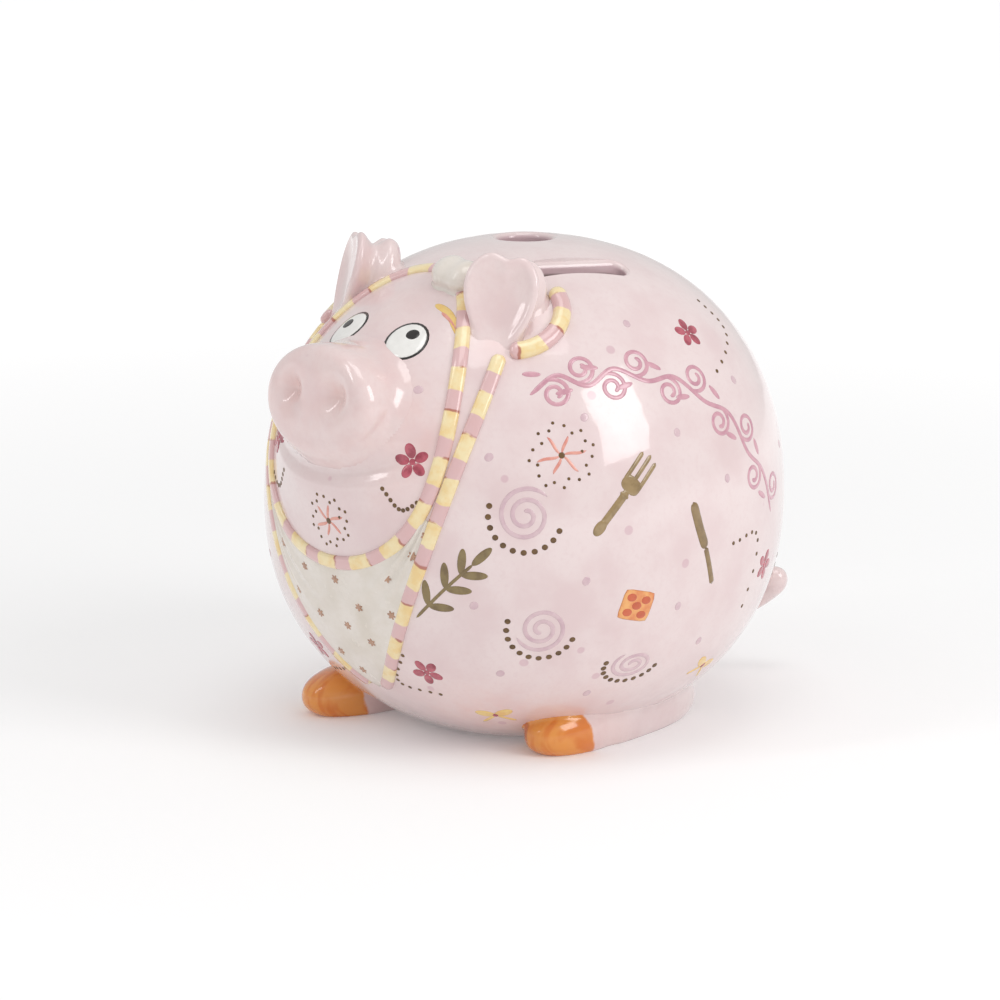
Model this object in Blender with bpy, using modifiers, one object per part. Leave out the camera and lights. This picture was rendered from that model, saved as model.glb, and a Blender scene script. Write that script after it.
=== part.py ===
"""Pig coin bank: a hollow, slip-cast and glazed body with luted-on snout, ears, feet and tail,
a modelled napkin tied round its neck, and a rubber stopper in the base.

Metres, +Z up. The pig looks along -Y and its left side is +X. The origin is on the floor,
under the middle of the whole bank. Lengths below are in millimetres and angles in degrees,
because those are the units a potter would use; mm() turns a length into metres.
"""

import math

import bmesh
import bpy
from mathutils import Matrix, Vector


def mm(value):
    return value / 1000.0


# ---------------------------------------------------------------- driving sizes
GAP = 0.3                  # clearance between pieces that were luted together
SOFT_GAP = 0.5             # the same under a curved sheet, whose facets sag a little

BODY_HALF_WIDTH = 67.0
BODY_HALF_LENGTH = 69.0
BODY_TOP = 69.4            # from the body's middle up to its crown
BODY_BOTTOM = 65.5         # from the body's middle down, before the base is flattened
BODY_MIDDLE_HEIGHT = 61.5  # above the floor
BODY_SET_BACK = -4.42      # the body's middle along Y, so that the bank is centred on the origin
BODY_SQUARENESS = 2.2      # 2 is an ellipsoid, more is boxier
WALL = 4.0
FLOOR_WALL = 7.0           # the base is thicker, to hold the stopper

MUZZLE_LIFT = 9.0          # how far the face swells behind the snout
MUZZLE_SPREAD = 19.0
MUZZLE_ELEVATION = 23.0
TEMPLE_DIP = 2.0           # how far the head narrows below each ear
TEMPLE_SPREAD = 24.0
TEMPLE_BEARING = 50.0
TEMPLE_ELEVATION = 36.0

SNOUT_HALF_WIDTH = 20.0
SNOUT_HALF_HEIGHT = 14.8
SNOUT_DEPTH = 22.0
SNOUT_FRONT = 76.5         # from the body's middle forward to the snout's front
SNOUT_HEIGHT = 34.4        # above the body's middle
SNOUT_TILT = 6.0
SNOUT_ROUNDNESS = 6.0      # 2 is a ball, more is a flatter front with tighter edges
NOSTRIL_SPACING = 17.0
NOSTRIL_RADIUS = 3.6
NOSTRIL_DEPTH = 2.0
NOSTRIL_RISE = 1.0         # above the snout's axis

EAR_BEARING = 41.0
EAR_ELEVATION = 53.0
EAR_STAND_OFF = 3.0        # the ear's middle above the skin
EAR_HALF_WIDTH = 9.0
EAR_HALF_DEPTH = 8.6
EAR_HALF_HEIGHT = 13.6
EAR_TAPER = 0.28           # wider at its top, coming to a rounded point below
EAR_RIM = 2.8              # the rolled rim round the hollow
EAR_HOLLOW_HALF_DEPTH = 6.0
EAR_HOLLOW_FORWARD = 8.4   # the hollow's middle, ahead of the ear's
EAR_FACE_TILT = 15.0

FOOT_HALF_LENGTH = 33.5
FOOT_HALF_WIDTH = 10.4
FOOT_HEIGHT = 14.0
FOOT_OUT = 32.0
FOOT_BACK = -6.2
FOOT_STAGGER = 7.8         # the right foot is set this far ahead, and the left one back
FOOT_SPLAY = 7.0
FOOT_ROUNDNESS = 2.4       # 2 is a ball, more is a fuller loaf
FOOT_TOE_WIDENING = 0.06
FOOT_SOLE_SHARE = 0.55     # how much of the loaf's lower half is left above the sole

TAIL_RADIUS = 5.2
TAIL_TIP_RADIUS = 4.0
TAIL_ROOT_DEPTH = 15.0     # how far its root starts inside the rump
TAIL_ROOT_HEIGHT = -43.0   # from the body's middle
TAIL_BACK = 29.0           # how far it stands out behind its root
TAIL_SIDE = 20.0           # how far its tip swings to the left
TAIL_SIDE_POWER = 1.6      # more keeps it straight for longer
TAIL_DIP = 3.0
TAIL_LIFT = 12.0
TAIL_CURL = 150.0
TAIL_BACK_TURN = 0.62      # share of the curl that is spent running back
TAIL_TIP_SHARE = 0.2       # the length over which its end rounds off

SLOT_LENGTH = 30.0
SLOT_WIDTH = 5.6
SLOT_OUT = 25.5
SLOT_BACK = -7.3
SLOT_TURN = 20.0           # how far its back end is turned outwards
CROWN_HOLE_RADIUS = 7.5

STOPPER_HOLE_RADIUS = 10.5
STOPPER_FLANGE_RADIUS = 13.6
STOPPER_FLANGE_THICKNESS = 2.0
STOPPER_RECESS_DEPTH = 3.2
STOPPER_LENGTH = 10.0
STOPPER_CHAMFER = 0.8      # two of these at the plug's inner end
STOPPER_EDGE = 0.6
STOPPER_DIMPLE_RADIUS = 5.0

NAPKIN_THICKNESS = 1.4
EDGE_RADIUS = 1.55         # the napkin's rolled, striped edge
NECK_MIDDLE_ELEVATION = 28.5
NECK_HALF_HEIGHT = 35.7
NECK_HALF_WIDTH = 25.5
NECK_NARROWING = 0.3       # how much narrower the neckline is at its top
BIB_POINT_ELEVATION = -41.0
SIDE_EDGE_TOP_ELEVATION = 38.0
BIB_TOP_ELEVATION = 4.0    # the sheet ends where its side comes up against the neckline
BIB_TOP_TURN = 50.0
BIB_SIDE_BEARING = 40.0
BIB_SIDE_SPAN = 85.0
BIB_SIDE_CURVE = 0.62
BIB_SIDE_CLIMB = 1.15      # more crowds the sheet's columns towards its point
BIB_SLANT = 0.75           # the side edge cuts the front columns slantwise, so they stop shorter
BIB_CLEARANCE = 1.15       # of the edge's radius and gap
KNOT_TURN = 155.0          # the knot sits beside the left ear, this far round the neckline
KNOT_HALF_WIDTH = 7.5
KNOT_HALF_DEPTH = 6.0
KNOT_HALF_HEIGHT = 4.5
KNOT_STANDING = 0.55       # share of its half height that its middle stands off the skin
KNOT_PINCH = 0.22          # how much thinner its waist is
KNOT_PINCH_SHARE = 0.35
END_INNER = 11.5           # the napkin's loose ends pass round each ear at this angle from it
END_OUTER = 16.5
END_START_TURN = 56.0
END_SWEEP = 84.0
END_NARROWEST = 0.45       # of the middle's width
END_THICKNESS = 2.2

BODY_ROUND = 48
BODY_RINGS = 32
CAVITY_ROUND = 28
CAVITY_RINGS = 18

MIDDLE = Vector((0.0, BODY_SET_BACK, BODY_MIDDLE_HEIGHT))


# ---------------------------------------------------------------- scene
for old in list(bpy.data.objects):
    bpy.data.objects.remove(old, do_unlink=True)

parts = bpy.data.collections.new("pig_coin_bank")
cutters = bpy.data.collections.new("cutters")
bpy.context.scene.collection.children.link(parts)
bpy.context.scene.collection.children.link(cutters)


def finish(name, colour, roughness):
    """A Principled material with one colour."""
    made = bpy.data.materials.new(name)
    made.use_nodes = True
    shader = made.node_tree.nodes["Principled BSDF"]
    shader.inputs["Base Color"].default_value = (*colour, 1.0)
    shader.inputs["Roughness"].default_value = roughness
    shader.inputs["Metallic"].default_value = 0.0
    return made


PINK_GLAZE = ((0.87, 0.72, 0.72), 0.12)
CREAM_GLAZE = ((0.86, 0.81, 0.75), 0.14)
STRIPE_GLAZE = ((0.88, 0.76, 0.45), 0.14)
ORANGE_GLAZE = ((0.86, 0.45, 0.12), 0.12)
RUBBER = ((0.78, 0.77, 0.74), 0.75)


def add_object(name, mesh, look):
    """A named part from a mesh in millimetres round the bank's own origin."""
    mesh.transform(Matrix.Scale(0.001, 4))
    mesh.materials.append(finish(name + "_finish", *look))
    mesh.shade_smooth()
    made = bpy.data.objects.new(name, mesh)
    parts.objects.link(made)
    return made


def add_cutter(name, mesh):
    mesh.transform(Matrix.Scale(0.001, 4))
    made = bpy.data.objects.new(name, mesh)
    made.hide_render = True
    made.display_type = "WIRE"
    cutters.objects.link(made)
    return made


def cut(target, cutter):
    boolean = target.modifiers.new("cut_" + cutter.name, "BOOLEAN")
    boolean.operation = "DIFFERENCE"
    boolean.solver = "EXACT"
    boolean.object = cutter


def mesh_of(name, build):
    """A mesh whose bmesh is filled by build(bm)."""
    bm = bmesh.new()
    build(bm)
    mesh = bpy.data.meshes.new(name)
    bm.to_mesh(mesh)
    bm.free()
    return mesh


def ball(name, segments, rings, place):
    """A UV sphere of radius 1, with every point moved by place(point)."""

    def build(bm):
        bmesh.ops.create_uvsphere(bm, u_segments=segments, v_segments=rings, radius=1.0)
        for vertex in bm.verts:
            vertex.co = place(vertex.co.copy())
        bmesh.ops.recalc_face_normals(bm, faces=bm.faces)

    return mesh_of(name, build)


# ---------------------------------------------------------------- the body's skin
def direction(bearing, elevation):
    """Unit vector from the body's middle: bearing turns from the face to the pig's left."""
    turn = math.radians(bearing)
    rise = math.radians(elevation)
    level = math.cos(rise)
    return Vector((level * math.sin(turn), -level * math.cos(turn), math.sin(rise)))


def skin_radius(way, half_width, half_length, top, bottom, swell):
    """Distance from the body's middle to a superellipsoid skin, swollen behind the snout
    and a little narrower at the temples."""
    n = BODY_SQUARENESS
    half_height = top if way.z > 0 else bottom
    total = abs(way.x / half_width) ** n + abs(way.y / half_length) ** n
    total += abs(way.z / half_height) ** n
    off_axis = math.degrees(way.angle(direction(0.0, MUZZLE_ELEVATION)))
    reach = total ** (-1.0 / n) + swell * math.exp(-((off_axis / MUZZLE_SPREAD) ** 2))
    for side in (-1.0, 1.0):
        temple = direction(side * TEMPLE_BEARING, TEMPLE_ELEVATION)
        off_temple = math.degrees(way.angle(temple))
        reach -= TEMPLE_DIP * math.exp(-((off_temple / TEMPLE_SPREAD) ** 2))
    return reach


def skin(way, lift=0.0):
    """The point of the outer skin in a direction, lifted off it by a number of millimetres."""
    reach = skin_radius(
        way, BODY_HALF_WIDTH, BODY_HALF_LENGTH, BODY_TOP, BODY_BOTTOM, MUZZLE_LIFT
    )
    return MIDDLE + way * (reach + lift)


def outer_point(way, lift=0.0):
    """As skin, flattened where the base stands on the floor."""
    point = skin(way, lift)
    point.z = max(point.z, -lift)
    return point


def inner_point(way):
    """The cavity: the skin less the wall, with its floor raised for the stopper."""
    reach = skin_radius(
        way,
        BODY_HALF_WIDTH - WALL,
        BODY_HALF_LENGTH - WALL,
        BODY_TOP - WALL,
        BODY_MIDDLE_HEIGHT - FLOOR_WALL,
        MUZZLE_LIFT,
    )
    return MIDDLE + way * reach


seat_cutter = add_cutter(
    "body_seat",
    ball(
        "body_seat",
        BODY_ROUND,
        BODY_RINGS,
        lambda way: outer_point(way.normalized(), GAP),
    ),
)
slot_out_of_skin = skin(direction(0.0, 90.0)).z


# ---------------------------------------------------------------- body shell
def upright_cylinder(name, radius, low, high, across, along, segments=32):
    """A vertical cylinder from low to high."""

    def build(bm):
        middle = Vector((across, along, (low + high) / 2.0))
        bmesh.ops.create_cone(
            bm,
            cap_ends=True,
            segments=segments,
            radius1=radius,
            radius2=radius,
            depth=high - low,
            matrix=Matrix.Translation(middle),
        )

    return mesh_of(name, build)


def slot_prism(name, length, width, low, high, across, along, turn):
    """An upright block with half-round ends, long in Y before its turn towards X."""

    def build(bm):
        bmesh.ops.create_cube(bm, size=1.0)
        size = Matrix.Diagonal((width, length, high - low, 1.0))
        bmesh.ops.transform(bm, matrix=size, verts=bm.verts)
        upright = [
            edge
            for edge in bm.edges
            if abs(edge.verts[0].co.z - edge.verts[1].co.z) > (high - low) / 2.0
        ]
        bmesh.ops.bevel(
            bm,
            geom=upright,
            offset=width * 0.49,
            segments=5,
            profile=0.5,
            affect="EDGES",
        )
        place = Matrix.Translation((across, along, (low + high) / 2.0))
        place = place @ Matrix.Rotation(-math.radians(turn), 4, "Z")
        bmesh.ops.transform(bm, matrix=place, verts=bm.verts)

    return mesh_of(name, build)


def make_body():
    outer = ball(
        "body_shell",
        BODY_ROUND,
        BODY_RINGS,
        lambda way: outer_point(way.normalized()),
    )
    body = add_object("body_shell", outer, PINK_GLAZE)
    inner = ball(
        "cavity", CAVITY_ROUND, CAVITY_RINGS, lambda way: inner_point(way.normalized())
    )
    cut(body, add_cutter("cavity", inner))

    above = slot_out_of_skin + 5.0
    below = slot_out_of_skin - 25.0
    slot = slot_prism(
        "coin_slot",
        SLOT_LENGTH,
        SLOT_WIDTH,
        below,
        above,
        SLOT_OUT,
        MIDDLE.y + SLOT_BACK,
        SLOT_TURN,
    )
    cut(body, add_cutter("coin_slot", slot))
    crown = upright_cylinder(
        "crown_hole", CROWN_HOLE_RADIUS, below, above, 0.0, MIDDLE.y
    )
    cut(body, add_cutter("crown_hole", crown))
    bore = upright_cylinder(
        "stopper_hole",
        STOPPER_HOLE_RADIUS,
        STOPPER_RECESS_DEPTH - 1.0,
        FLOOR_WALL + 8.0,
        0.0,
        MIDDLE.y,
    )
    cut(body, add_cutter("stopper_hole", bore))
    recess = upright_cylinder(
        "stopper_recess",
        STOPPER_FLANGE_RADIUS + 2.0 * GAP,
        -5.0,
        STOPPER_RECESS_DEPTH,
        0.0,
        MIDDLE.y,
    )
    cut(body, add_cutter("stopper_recess", recess))
    return body


# ---------------------------------------------------------------- stopper
def turned(name, profile, look, steps):
    """A profile of (radius, height) pairs, from the top down its outer side, spun about Z."""
    mesh = bpy.data.meshes.new(name)
    points = [(mm(radius), 0.0, mm(height)) for radius, height in profile]
    edges = [(i, i + 1) for i in range(len(points) - 1)]
    mesh.from_pydata(points, edges, [])
    made = bpy.data.objects.new(name, mesh)
    mesh.materials.append(finish(name + "_finish", *look))
    parts.objects.link(made)
    screw = made.modifiers.new("spin", "SCREW")
    screw.axis = "Z"
    screw.steps = steps
    screw.render_steps = steps
    screw.use_merge_vertices = True
    screw.merge_threshold = 0.00001
    screw.use_smooth_shade = True
    return made


def make_stopper():
    flange_top = STOPPER_RECESS_DEPTH - GAP
    flange_bottom = flange_top - STOPPER_FLANGE_THICKNESS
    stem = STOPPER_HOLE_RADIUS - GAP
    top = flange_bottom + STOPPER_LENGTH
    profile = [
        (0.0, top),
        (stem - 2.0 * STOPPER_CHAMFER, top),
        (stem - STOPPER_CHAMFER, top - STOPPER_CHAMFER),
        (stem, flange_top + STOPPER_EDGE),
        (stem, flange_top),
        (STOPPER_FLANGE_RADIUS, flange_top),
        (STOPPER_FLANGE_RADIUS, flange_bottom + STOPPER_EDGE),
        (STOPPER_FLANGE_RADIUS - STOPPER_EDGE, flange_bottom),
        (STOPPER_DIMPLE_RADIUS, flange_bottom),
        (STOPPER_DIMPLE_RADIUS - 1.0, flange_bottom + STOPPER_CHAMFER),
        (0.0, flange_bottom + STOPPER_CHAMFER),
    ]
    stopper = turned("base_stopper", profile, RUBBER, 32)
    stopper.location = (0.0, mm(MIDDLE.y), 0.0)
    return stopper


# ---------------------------------------------------------------- snout
def make_snout():
    tilt = Matrix.Rotation(math.radians(90.0 - SNOUT_TILT), 4, "X")
    front = Vector((0.0, MIDDLE.y - SNOUT_FRONT, MIDDLE.z + SNOUT_HEIGHT))

    def round_block(way):
        level = math.hypot(way.x, way.y)
        n = SNOUT_ROUNDNESS
        reach = (level ** n + abs(way.z) ** n) ** (-1.0 / n)
        point = way * reach
        flat = Vector((point.x * SNOUT_HALF_WIDTH, point.y * SNOUT_HALF_HEIGHT, 0.0))
        flat.z = (point.z - 1.0) * SNOUT_DEPTH / 2.0
        dent = 0.0
        if point.z > 0.0:
            for side in (-1.0, 1.0):
                across = flat.x - side * NOSTRIL_SPACING / 2.0
                off = math.hypot(across, flat.y - NOSTRIL_RISE)
                dent += NOSTRIL_DEPTH * math.exp(-((off / NOSTRIL_RADIUS) ** 2))
        flat.z -= dent
        return front + tilt @ flat

    mesh = ball("snout", 32, 20, lambda way: round_block(way.normalized()))
    snout = add_object("snout", mesh, PINK_GLAZE)
    cut(snout, seat_cutter)
    return snout


# ---------------------------------------------------------------- ears
def ear_frame(side):
    """Columns: across the ear, the way its hollow faces, and up the ear; then its middle."""
    way = direction(side * EAR_BEARING, EAR_ELEVATION)
    level = Vector((way.x, way.y, 0.0)).normalized()
    tilt = math.radians(EAR_FACE_TILT)
    face = level * math.cos(tilt) + Vector((0.0, 0.0, math.sin(tilt)))
    rise = Vector((0.0, 0.0, math.cos(tilt))) - level * math.sin(tilt)
    across = face.cross(rise)
    frame = Matrix((across, face, rise)).transposed().to_4x4()
    return Matrix.Translation(skin(way, EAR_STAND_OFF)) @ frame


def make_ear(name, side):
    frame = ear_frame(side)

    def outside(way):
        taper = 1.0 + EAR_TAPER * way.z
        point = Vector((EAR_HALF_WIDTH * way.x * taper, EAR_HALF_DEPTH * way.y, 0.0))
        point.z = EAR_HALF_HEIGHT * way.z
        return frame @ point

    def hollow(way):
        taper = 1.0 + EAR_TAPER * way.z
        point = Vector(((EAR_HALF_WIDTH - EAR_RIM) * way.x * taper, 0.0, 0.0))
        point.y = EAR_HOLLOW_FORWARD + EAR_HOLLOW_HALF_DEPTH * way.y
        point.z = (EAR_HALF_HEIGHT - EAR_RIM) * way.z
        return frame @ point

    ear = add_object(name, ball(name, 24, 16, lambda w: outside(w.normalized())), PINK_GLAZE)
    inside = ball(name + "_hollow", 20, 12, lambda w: hollow(w.normalized()))
    cut(ear, add_cutter(name + "_hollow", inside))
    cut(ear, seat_cutter)
    return ear


# ---------------------------------------------------------------- feet
def make_foot(name, side):
    splay = math.radians(FOOT_SPLAY)
    ahead = Vector((side * math.sin(splay), -math.cos(splay), 0.0))
    outward = Vector((side * math.cos(splay), math.sin(splay), 0.0))
    middle = Vector((side * FOOT_OUT, MIDDLE.y + FOOT_BACK + side * FOOT_STAGGER, 0.0))

    def loaf(way):
        """A long rounded block, a little wider at the toe, with a flat sole."""
        n = FOOT_ROUNDNESS
        reach = (abs(way.x) ** n + abs(way.y) ** n + abs(way.z) ** n) ** (-1.0 / n)
        point = way * reach
        width = FOOT_HALF_WIDTH * (1.0 + FOOT_TOE_WIDENING * point.y)
        height = (point.z + FOOT_SOLE_SHARE) * FOOT_HEIGHT / (1.0 + FOOT_SOLE_SHARE)
        place = middle + ahead * (FOOT_HALF_LENGTH * point.y) + outward * (width * point.x)
        place.z = max(height, 0.0)
        return place

    mesh = ball(name, 28, 14, lambda way: loaf(way.normalized()))
    foot = add_object(name, mesh, ORANGE_GLAZE)
    cut(foot, seat_cutter)
    return foot


# ---------------------------------------------------------------- curly tail
def mesh_from_curve(curve_object):
    """The curve's tube as a welded mesh in the same place, and the curve removed."""
    bpy.context.view_layer.update()
    graph = bpy.context.evaluated_depsgraph_get()
    mesh = bpy.data.meshes.new_from_object(curve_object.evaluated_get(graph))
    bm = bmesh.new()
    bm.from_mesh(mesh)
    bmesh.ops.remove_doubles(bm, verts=bm.verts, dist=0.000001)
    bmesh.ops.recalc_face_normals(bm, faces=bm.faces)
    bm.to_mesh(mesh)
    bm.free()
    made = bpy.data.objects.new(curve_object.name + "_mesh", mesh)
    made.matrix_world = curve_object.matrix_world
    parts.objects.link(made)
    name = curve_object.name
    bpy.data.objects.remove(curve_object, do_unlink=True)
    made.name = name
    return made


def tube(name, points, radius, look, radii=None):
    """A round rod through points in millimetres, with filled caps."""
    curve = bpy.data.curves.new(name, "CURVE")
    curve.dimensions = "3D"
    curve.bevel_depth = mm(radius)
    curve.bevel_resolution = 2
    curve.use_fill_caps = True
    spline = curve.splines.new("POLY")
    spline.points.add(len(points) - 1)
    for i, point in enumerate(points):
        spline.points[i].co = (mm(point.x), mm(point.y), mm(point.z), 1.0)
        spline.points[i].radius = 1.0 if radii is None else radii[i]
    made = bpy.data.objects.new(name, curve)
    curve.materials.append(finish(name + "_finish", *look))
    parts.objects.link(made)
    return made


def make_tail():
    """Leaves the rump level, then curls up and over to the pig's left."""
    count = 12
    back = BODY_HALF_LENGTH - TAIL_ROOT_DEPTH
    points = []
    radii = []
    for i in range(count):
        share = i / (count - 1)
        curl = math.radians(TAIL_CURL * share)
        side = TAIL_SIDE * share ** TAIL_SIDE_POWER
        along = back + TAIL_BACK * math.sin(curl * TAIL_BACK_TURN)
        height = TAIL_ROOT_HEIGHT - TAIL_DIP * math.sin(curl) + TAIL_LIFT * share ** 2
        points.append(MIDDLE + Vector((side, along, height)))
        narrow = 1.0 - (1.0 - TAIL_TIP_RADIUS / TAIL_RADIUS) * share
        past = max(share - 1.0 + TAIL_TIP_SHARE, 0.0) / TAIL_TIP_SHARE
        radii.append(narrow * math.sqrt(max(1.0 - past ** 2, 0.09)))
    tail = mesh_from_curve(tube("tail", points, TAIL_RADIUS, PINK_GLAZE, radii))
    cut(tail, seat_cutter)
    return tail


# ---------------------------------------------------------------- napkin
def neckline(turn):
    """Direction of the neck opening's edge: turn 0 is under the chin, 180 behind the ears."""
    high = -math.cos(math.radians(turn))
    wide = math.sin(math.radians(turn)) * (1.0 - NECK_NARROWING * high)
    elevation = NECK_MIDDLE_ELEVATION + NECK_HALF_HEIGHT * high
    bearing = NECK_HALF_WIDTH * wide / math.cos(math.radians(elevation))
    return direction(bearing, elevation)


def side_edge(side, elevation):
    """Direction of the napkin's straight side, from its point on the belly up to an ear."""
    share = (elevation - BIB_POINT_ELEVATION) / BIB_SIDE_SPAN
    return direction(side * BIB_SIDE_BEARING * share ** BIB_SIDE_CURVE, elevation)


def sheet_on_skin(name, columns, rows, place, thickness, lift, look):
    """A grid laid on the skin by place(across, down), each from -1 to 1, and thickened."""

    def build(bm):
        bmesh.ops.create_grid(bm, x_segments=columns, y_segments=rows, size=1.0)
        for vertex in bm.verts:
            vertex.co = skin(place(vertex.co.x, vertex.co.y), lift)
        bmesh.ops.recalc_face_normals(bm, faces=bm.faces)
        if (bm.faces[:][0].calc_center_median() - MIDDLE).dot(bm.faces[:][0].normal) < 0.0:
            bmesh.ops.reverse_faces(bm, faces=bm.faces)

    sheet = add_object(name, mesh_of(name, build), look)
    solid = sheet.modifiers.new("thickness", "SOLIDIFY")
    solid.thickness = mm(thickness)
    solid.offset = 1.0
    solid.use_even_offset = True
    return sheet


def between(start, end, inset_start, inset_end, share):
    """A direction from start to end, kept clear of each by a distance on the skin."""
    apart = math.radians(1.0) * BODY_HALF_WIDTH * math.degrees(start.angle(end))
    low = inset_start / apart
    high = 1.0 - inset_end / apart
    return start.lerp(end, low + (high - low) * share).normalized()


def make_bib():
    clear = EDGE_RADIUS + GAP

    def place(across, down):
        side = -1.0 if across < 0.0 else 1.0
        share = abs(across)
        start = neckline(across * BIB_TOP_TURN)
        climb = BIB_TOP_ELEVATION - BIB_POINT_ELEVATION
        end = side_edge(side, BIB_POINT_ELEVATION + climb * share ** BIB_SIDE_CLIMB)
        slanted = BIB_CLEARANCE + BIB_SLANT * (1.0 - share)
        return between(start, end, clear * BIB_CLEARANCE, clear * slanted, (1.0 - down) / 2.0)

    return sheet_on_skin(
        "bib_sheet", 28, 9, place, NAPKIN_THICKNESS, SOFT_GAP, CREAM_GLAZE
    )


def knot_middle():
    return skin(neckline(KNOT_TURN), KNOT_HALF_HEIGHT * KNOT_STANDING)


def from_knot(turn, lift):
    """Distance from the knot's middle to the neckline, lifted off the skin."""
    return (skin(neckline(turn), lift) - knot_middle()).length


def make_neck_edge():
    """The rolled edge of the neck opening, broken where the knot sits."""
    lift = EDGE_RADIUS + SOFT_GAP
    clear = KNOT_HALF_WIDTH + EDGE_RADIUS + GAP
    gap = 1.0
    while min(from_knot(KNOT_TURN - gap, lift), from_knot(KNOT_TURN + gap, lift)) < clear:
        gap += 0.5
    count = 57
    points = []
    for i in range(count):
        turn = KNOT_TURN + gap + (360.0 - 2.0 * gap) * i / (count - 1)
        points.append(skin(neckline(turn), lift))
    return tube("neck_edge", points, EDGE_RADIUS, STRIPE_GLAZE)


def make_side_edge(name, side):
    count = 22
    lift = EDGE_RADIUS + SOFT_GAP
    low = BIB_POINT_ELEVATION + 1.2
    points = []
    for i in range(count):
        elevation = low + (SIDE_EDGE_TOP_ELEVATION - low) * i / (count - 1)
        points.append(skin(side_edge(side, elevation), lift))
    return tube(name, points, EDGE_RADIUS, STRIPE_GLAZE)


def make_knot():
    middle = knot_middle()
    lean = neckline(KNOT_TURN).to_track_quat("Z", "Y").to_matrix()

    def lump(point):
        pinch = 1.0 - KNOT_PINCH * math.exp(-((point.x / KNOT_PINCH_SHARE) ** 2))
        shaped = Vector((KNOT_HALF_WIDTH * point.x, KNOT_HALF_DEPTH * point.y * pinch, 0.0))
        shaped.z = KNOT_HALF_HEIGHT * point.z * pinch
        return middle + lean @ shaped

    mesh = ball("napkin_knot", 24, 14, lambda way: lump(way.normalized()))
    knot = add_object("napkin_knot", mesh, CREAM_GLAZE)
    cut(knot, seat_cutter)
    return knot


def round_the_ear(side, off, turn):
    """Direction at an angle off the ear's own: turn 0 is towards the crown, 90 outwards."""
    bearing = side * EAR_BEARING
    way = direction(bearing, EAR_ELEVATION)
    upward = direction(bearing, EAR_ELEVATION + 90.0)
    outward = direction(bearing + side * 90.0, 0.0)
    lean = upward * math.cos(math.radians(turn)) + outward * math.sin(math.radians(turn))
    return way * math.cos(math.radians(off)) + lean * math.sin(math.radians(off))


def make_napkin_end(name, side):
    """A loose end of the napkin, from beside the knot round behind the ear."""

    def place(along, across):
        share = (along + 1.0) / 2.0
        turn = END_START_TURN + END_SWEEP * share
        middle = (END_INNER + END_OUTER) / 2.0
        fullness = END_NARROWEST + (1.0 - END_NARROWEST) * math.sin(math.pi * share)
        half = (END_OUTER - END_INNER) / 2.0 * fullness
        return round_the_ear(side, middle + half * across, turn)

    return sheet_on_skin(name, 20, 3, place, END_THICKNESS, SOFT_GAP, CREAM_GLAZE)


make_body()
make_stopper()
make_snout()
make_tail()
make_bib()
make_neck_edge()
make_knot()
for side_name, side_sign in (("left", 1.0), ("right", -1.0)):
    make_ear("ear_" + side_name, side_sign)
    make_foot("foot_" + side_name, side_sign)
    make_side_edge("side_edge_" + side_name, side_sign)
    make_napkin_end("napkin_end_" + side_name, side_sign)
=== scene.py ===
# %% [markdown]
# # A glazed pig coin bank
# This lesson dresses a finished CAD model of a hollow ceramic pig. The CAD part comes first, as a
# fixed frame: it says where every piece is and how large it is. The CAD faces are coarse, which
# glossy glaze would show at once, so each piece is worked out again as a fine smooth surface from
# the same sizes, and then glazed and painted.

# %% Load the frame
import math

import bmesh
import bpy
import numpy as np
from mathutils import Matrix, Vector


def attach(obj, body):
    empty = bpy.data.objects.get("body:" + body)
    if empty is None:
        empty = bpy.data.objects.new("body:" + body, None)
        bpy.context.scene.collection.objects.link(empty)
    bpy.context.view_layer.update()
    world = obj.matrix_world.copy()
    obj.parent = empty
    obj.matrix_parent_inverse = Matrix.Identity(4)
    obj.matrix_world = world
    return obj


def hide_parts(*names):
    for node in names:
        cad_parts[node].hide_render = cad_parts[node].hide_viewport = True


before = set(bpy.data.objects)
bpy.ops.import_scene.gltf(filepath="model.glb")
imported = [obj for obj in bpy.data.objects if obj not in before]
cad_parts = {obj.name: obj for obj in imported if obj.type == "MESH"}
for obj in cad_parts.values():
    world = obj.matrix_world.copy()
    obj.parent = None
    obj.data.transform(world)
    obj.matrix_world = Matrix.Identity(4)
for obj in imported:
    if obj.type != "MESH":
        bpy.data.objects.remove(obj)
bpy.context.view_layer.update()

# %% [markdown]
# ## Sizes
# A potter thinks in millimetres, so the sizes are in millimetres and one constant turns them into
# metres. They are the driving sizes of the CAD part. The body is a superellipsoid, which is an
# ellipsoid made a little boxier, and everything on it is placed by two angles seen from its middle:
# a bearing, which is 0 at the face and grows to the pig's left, and an elevation.

# %% Sizes shared with the CAD part
MM = 0.001
MIDDLE = np.array((0.0, -4.42, 61.5))
HALF_WIDTH, HALF_LENGTH, CROWN, BASE = 67.0, 69.0, 69.4, 65.5
SQUARENESS = 2.2
WALL, FLOOR_WALL = 4.0, 7.0
MUZZLE_LIFT, MUZZLE_SPREAD, MUZZLE_ELEVATION = 9.0, 19.0, 23.0
TEMPLE_DIP, TEMPLE_SPREAD, TEMPLE_BEARING, TEMPLE_ELEVATION = 2.0, 24.0, 50.0, 36.0
CROWN_HOLE_RADIUS = 7.5
SLOT_LENGTH, SLOT_WIDTH, SLOT_OUT, SLOT_BACK, SLOT_TURN = 30.0, 5.6, 25.5, -7.3, 20.0
STOPPER_HOLE_RADIUS, STOPPER_RECESS_RADIUS, STOPPER_RECESS_DEPTH = 10.5, 14.2, 3.2
SIDES = (("left", 1.0), ("right", -1.0))

# %% [markdown]
# ## The camera
# A small object looks natural through a long lens from about a metre away, because a short lens
# close up would swell the snout. The camera stands to the pig's left front and a little above it,
# and aims just beside the body's middle.

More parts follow.
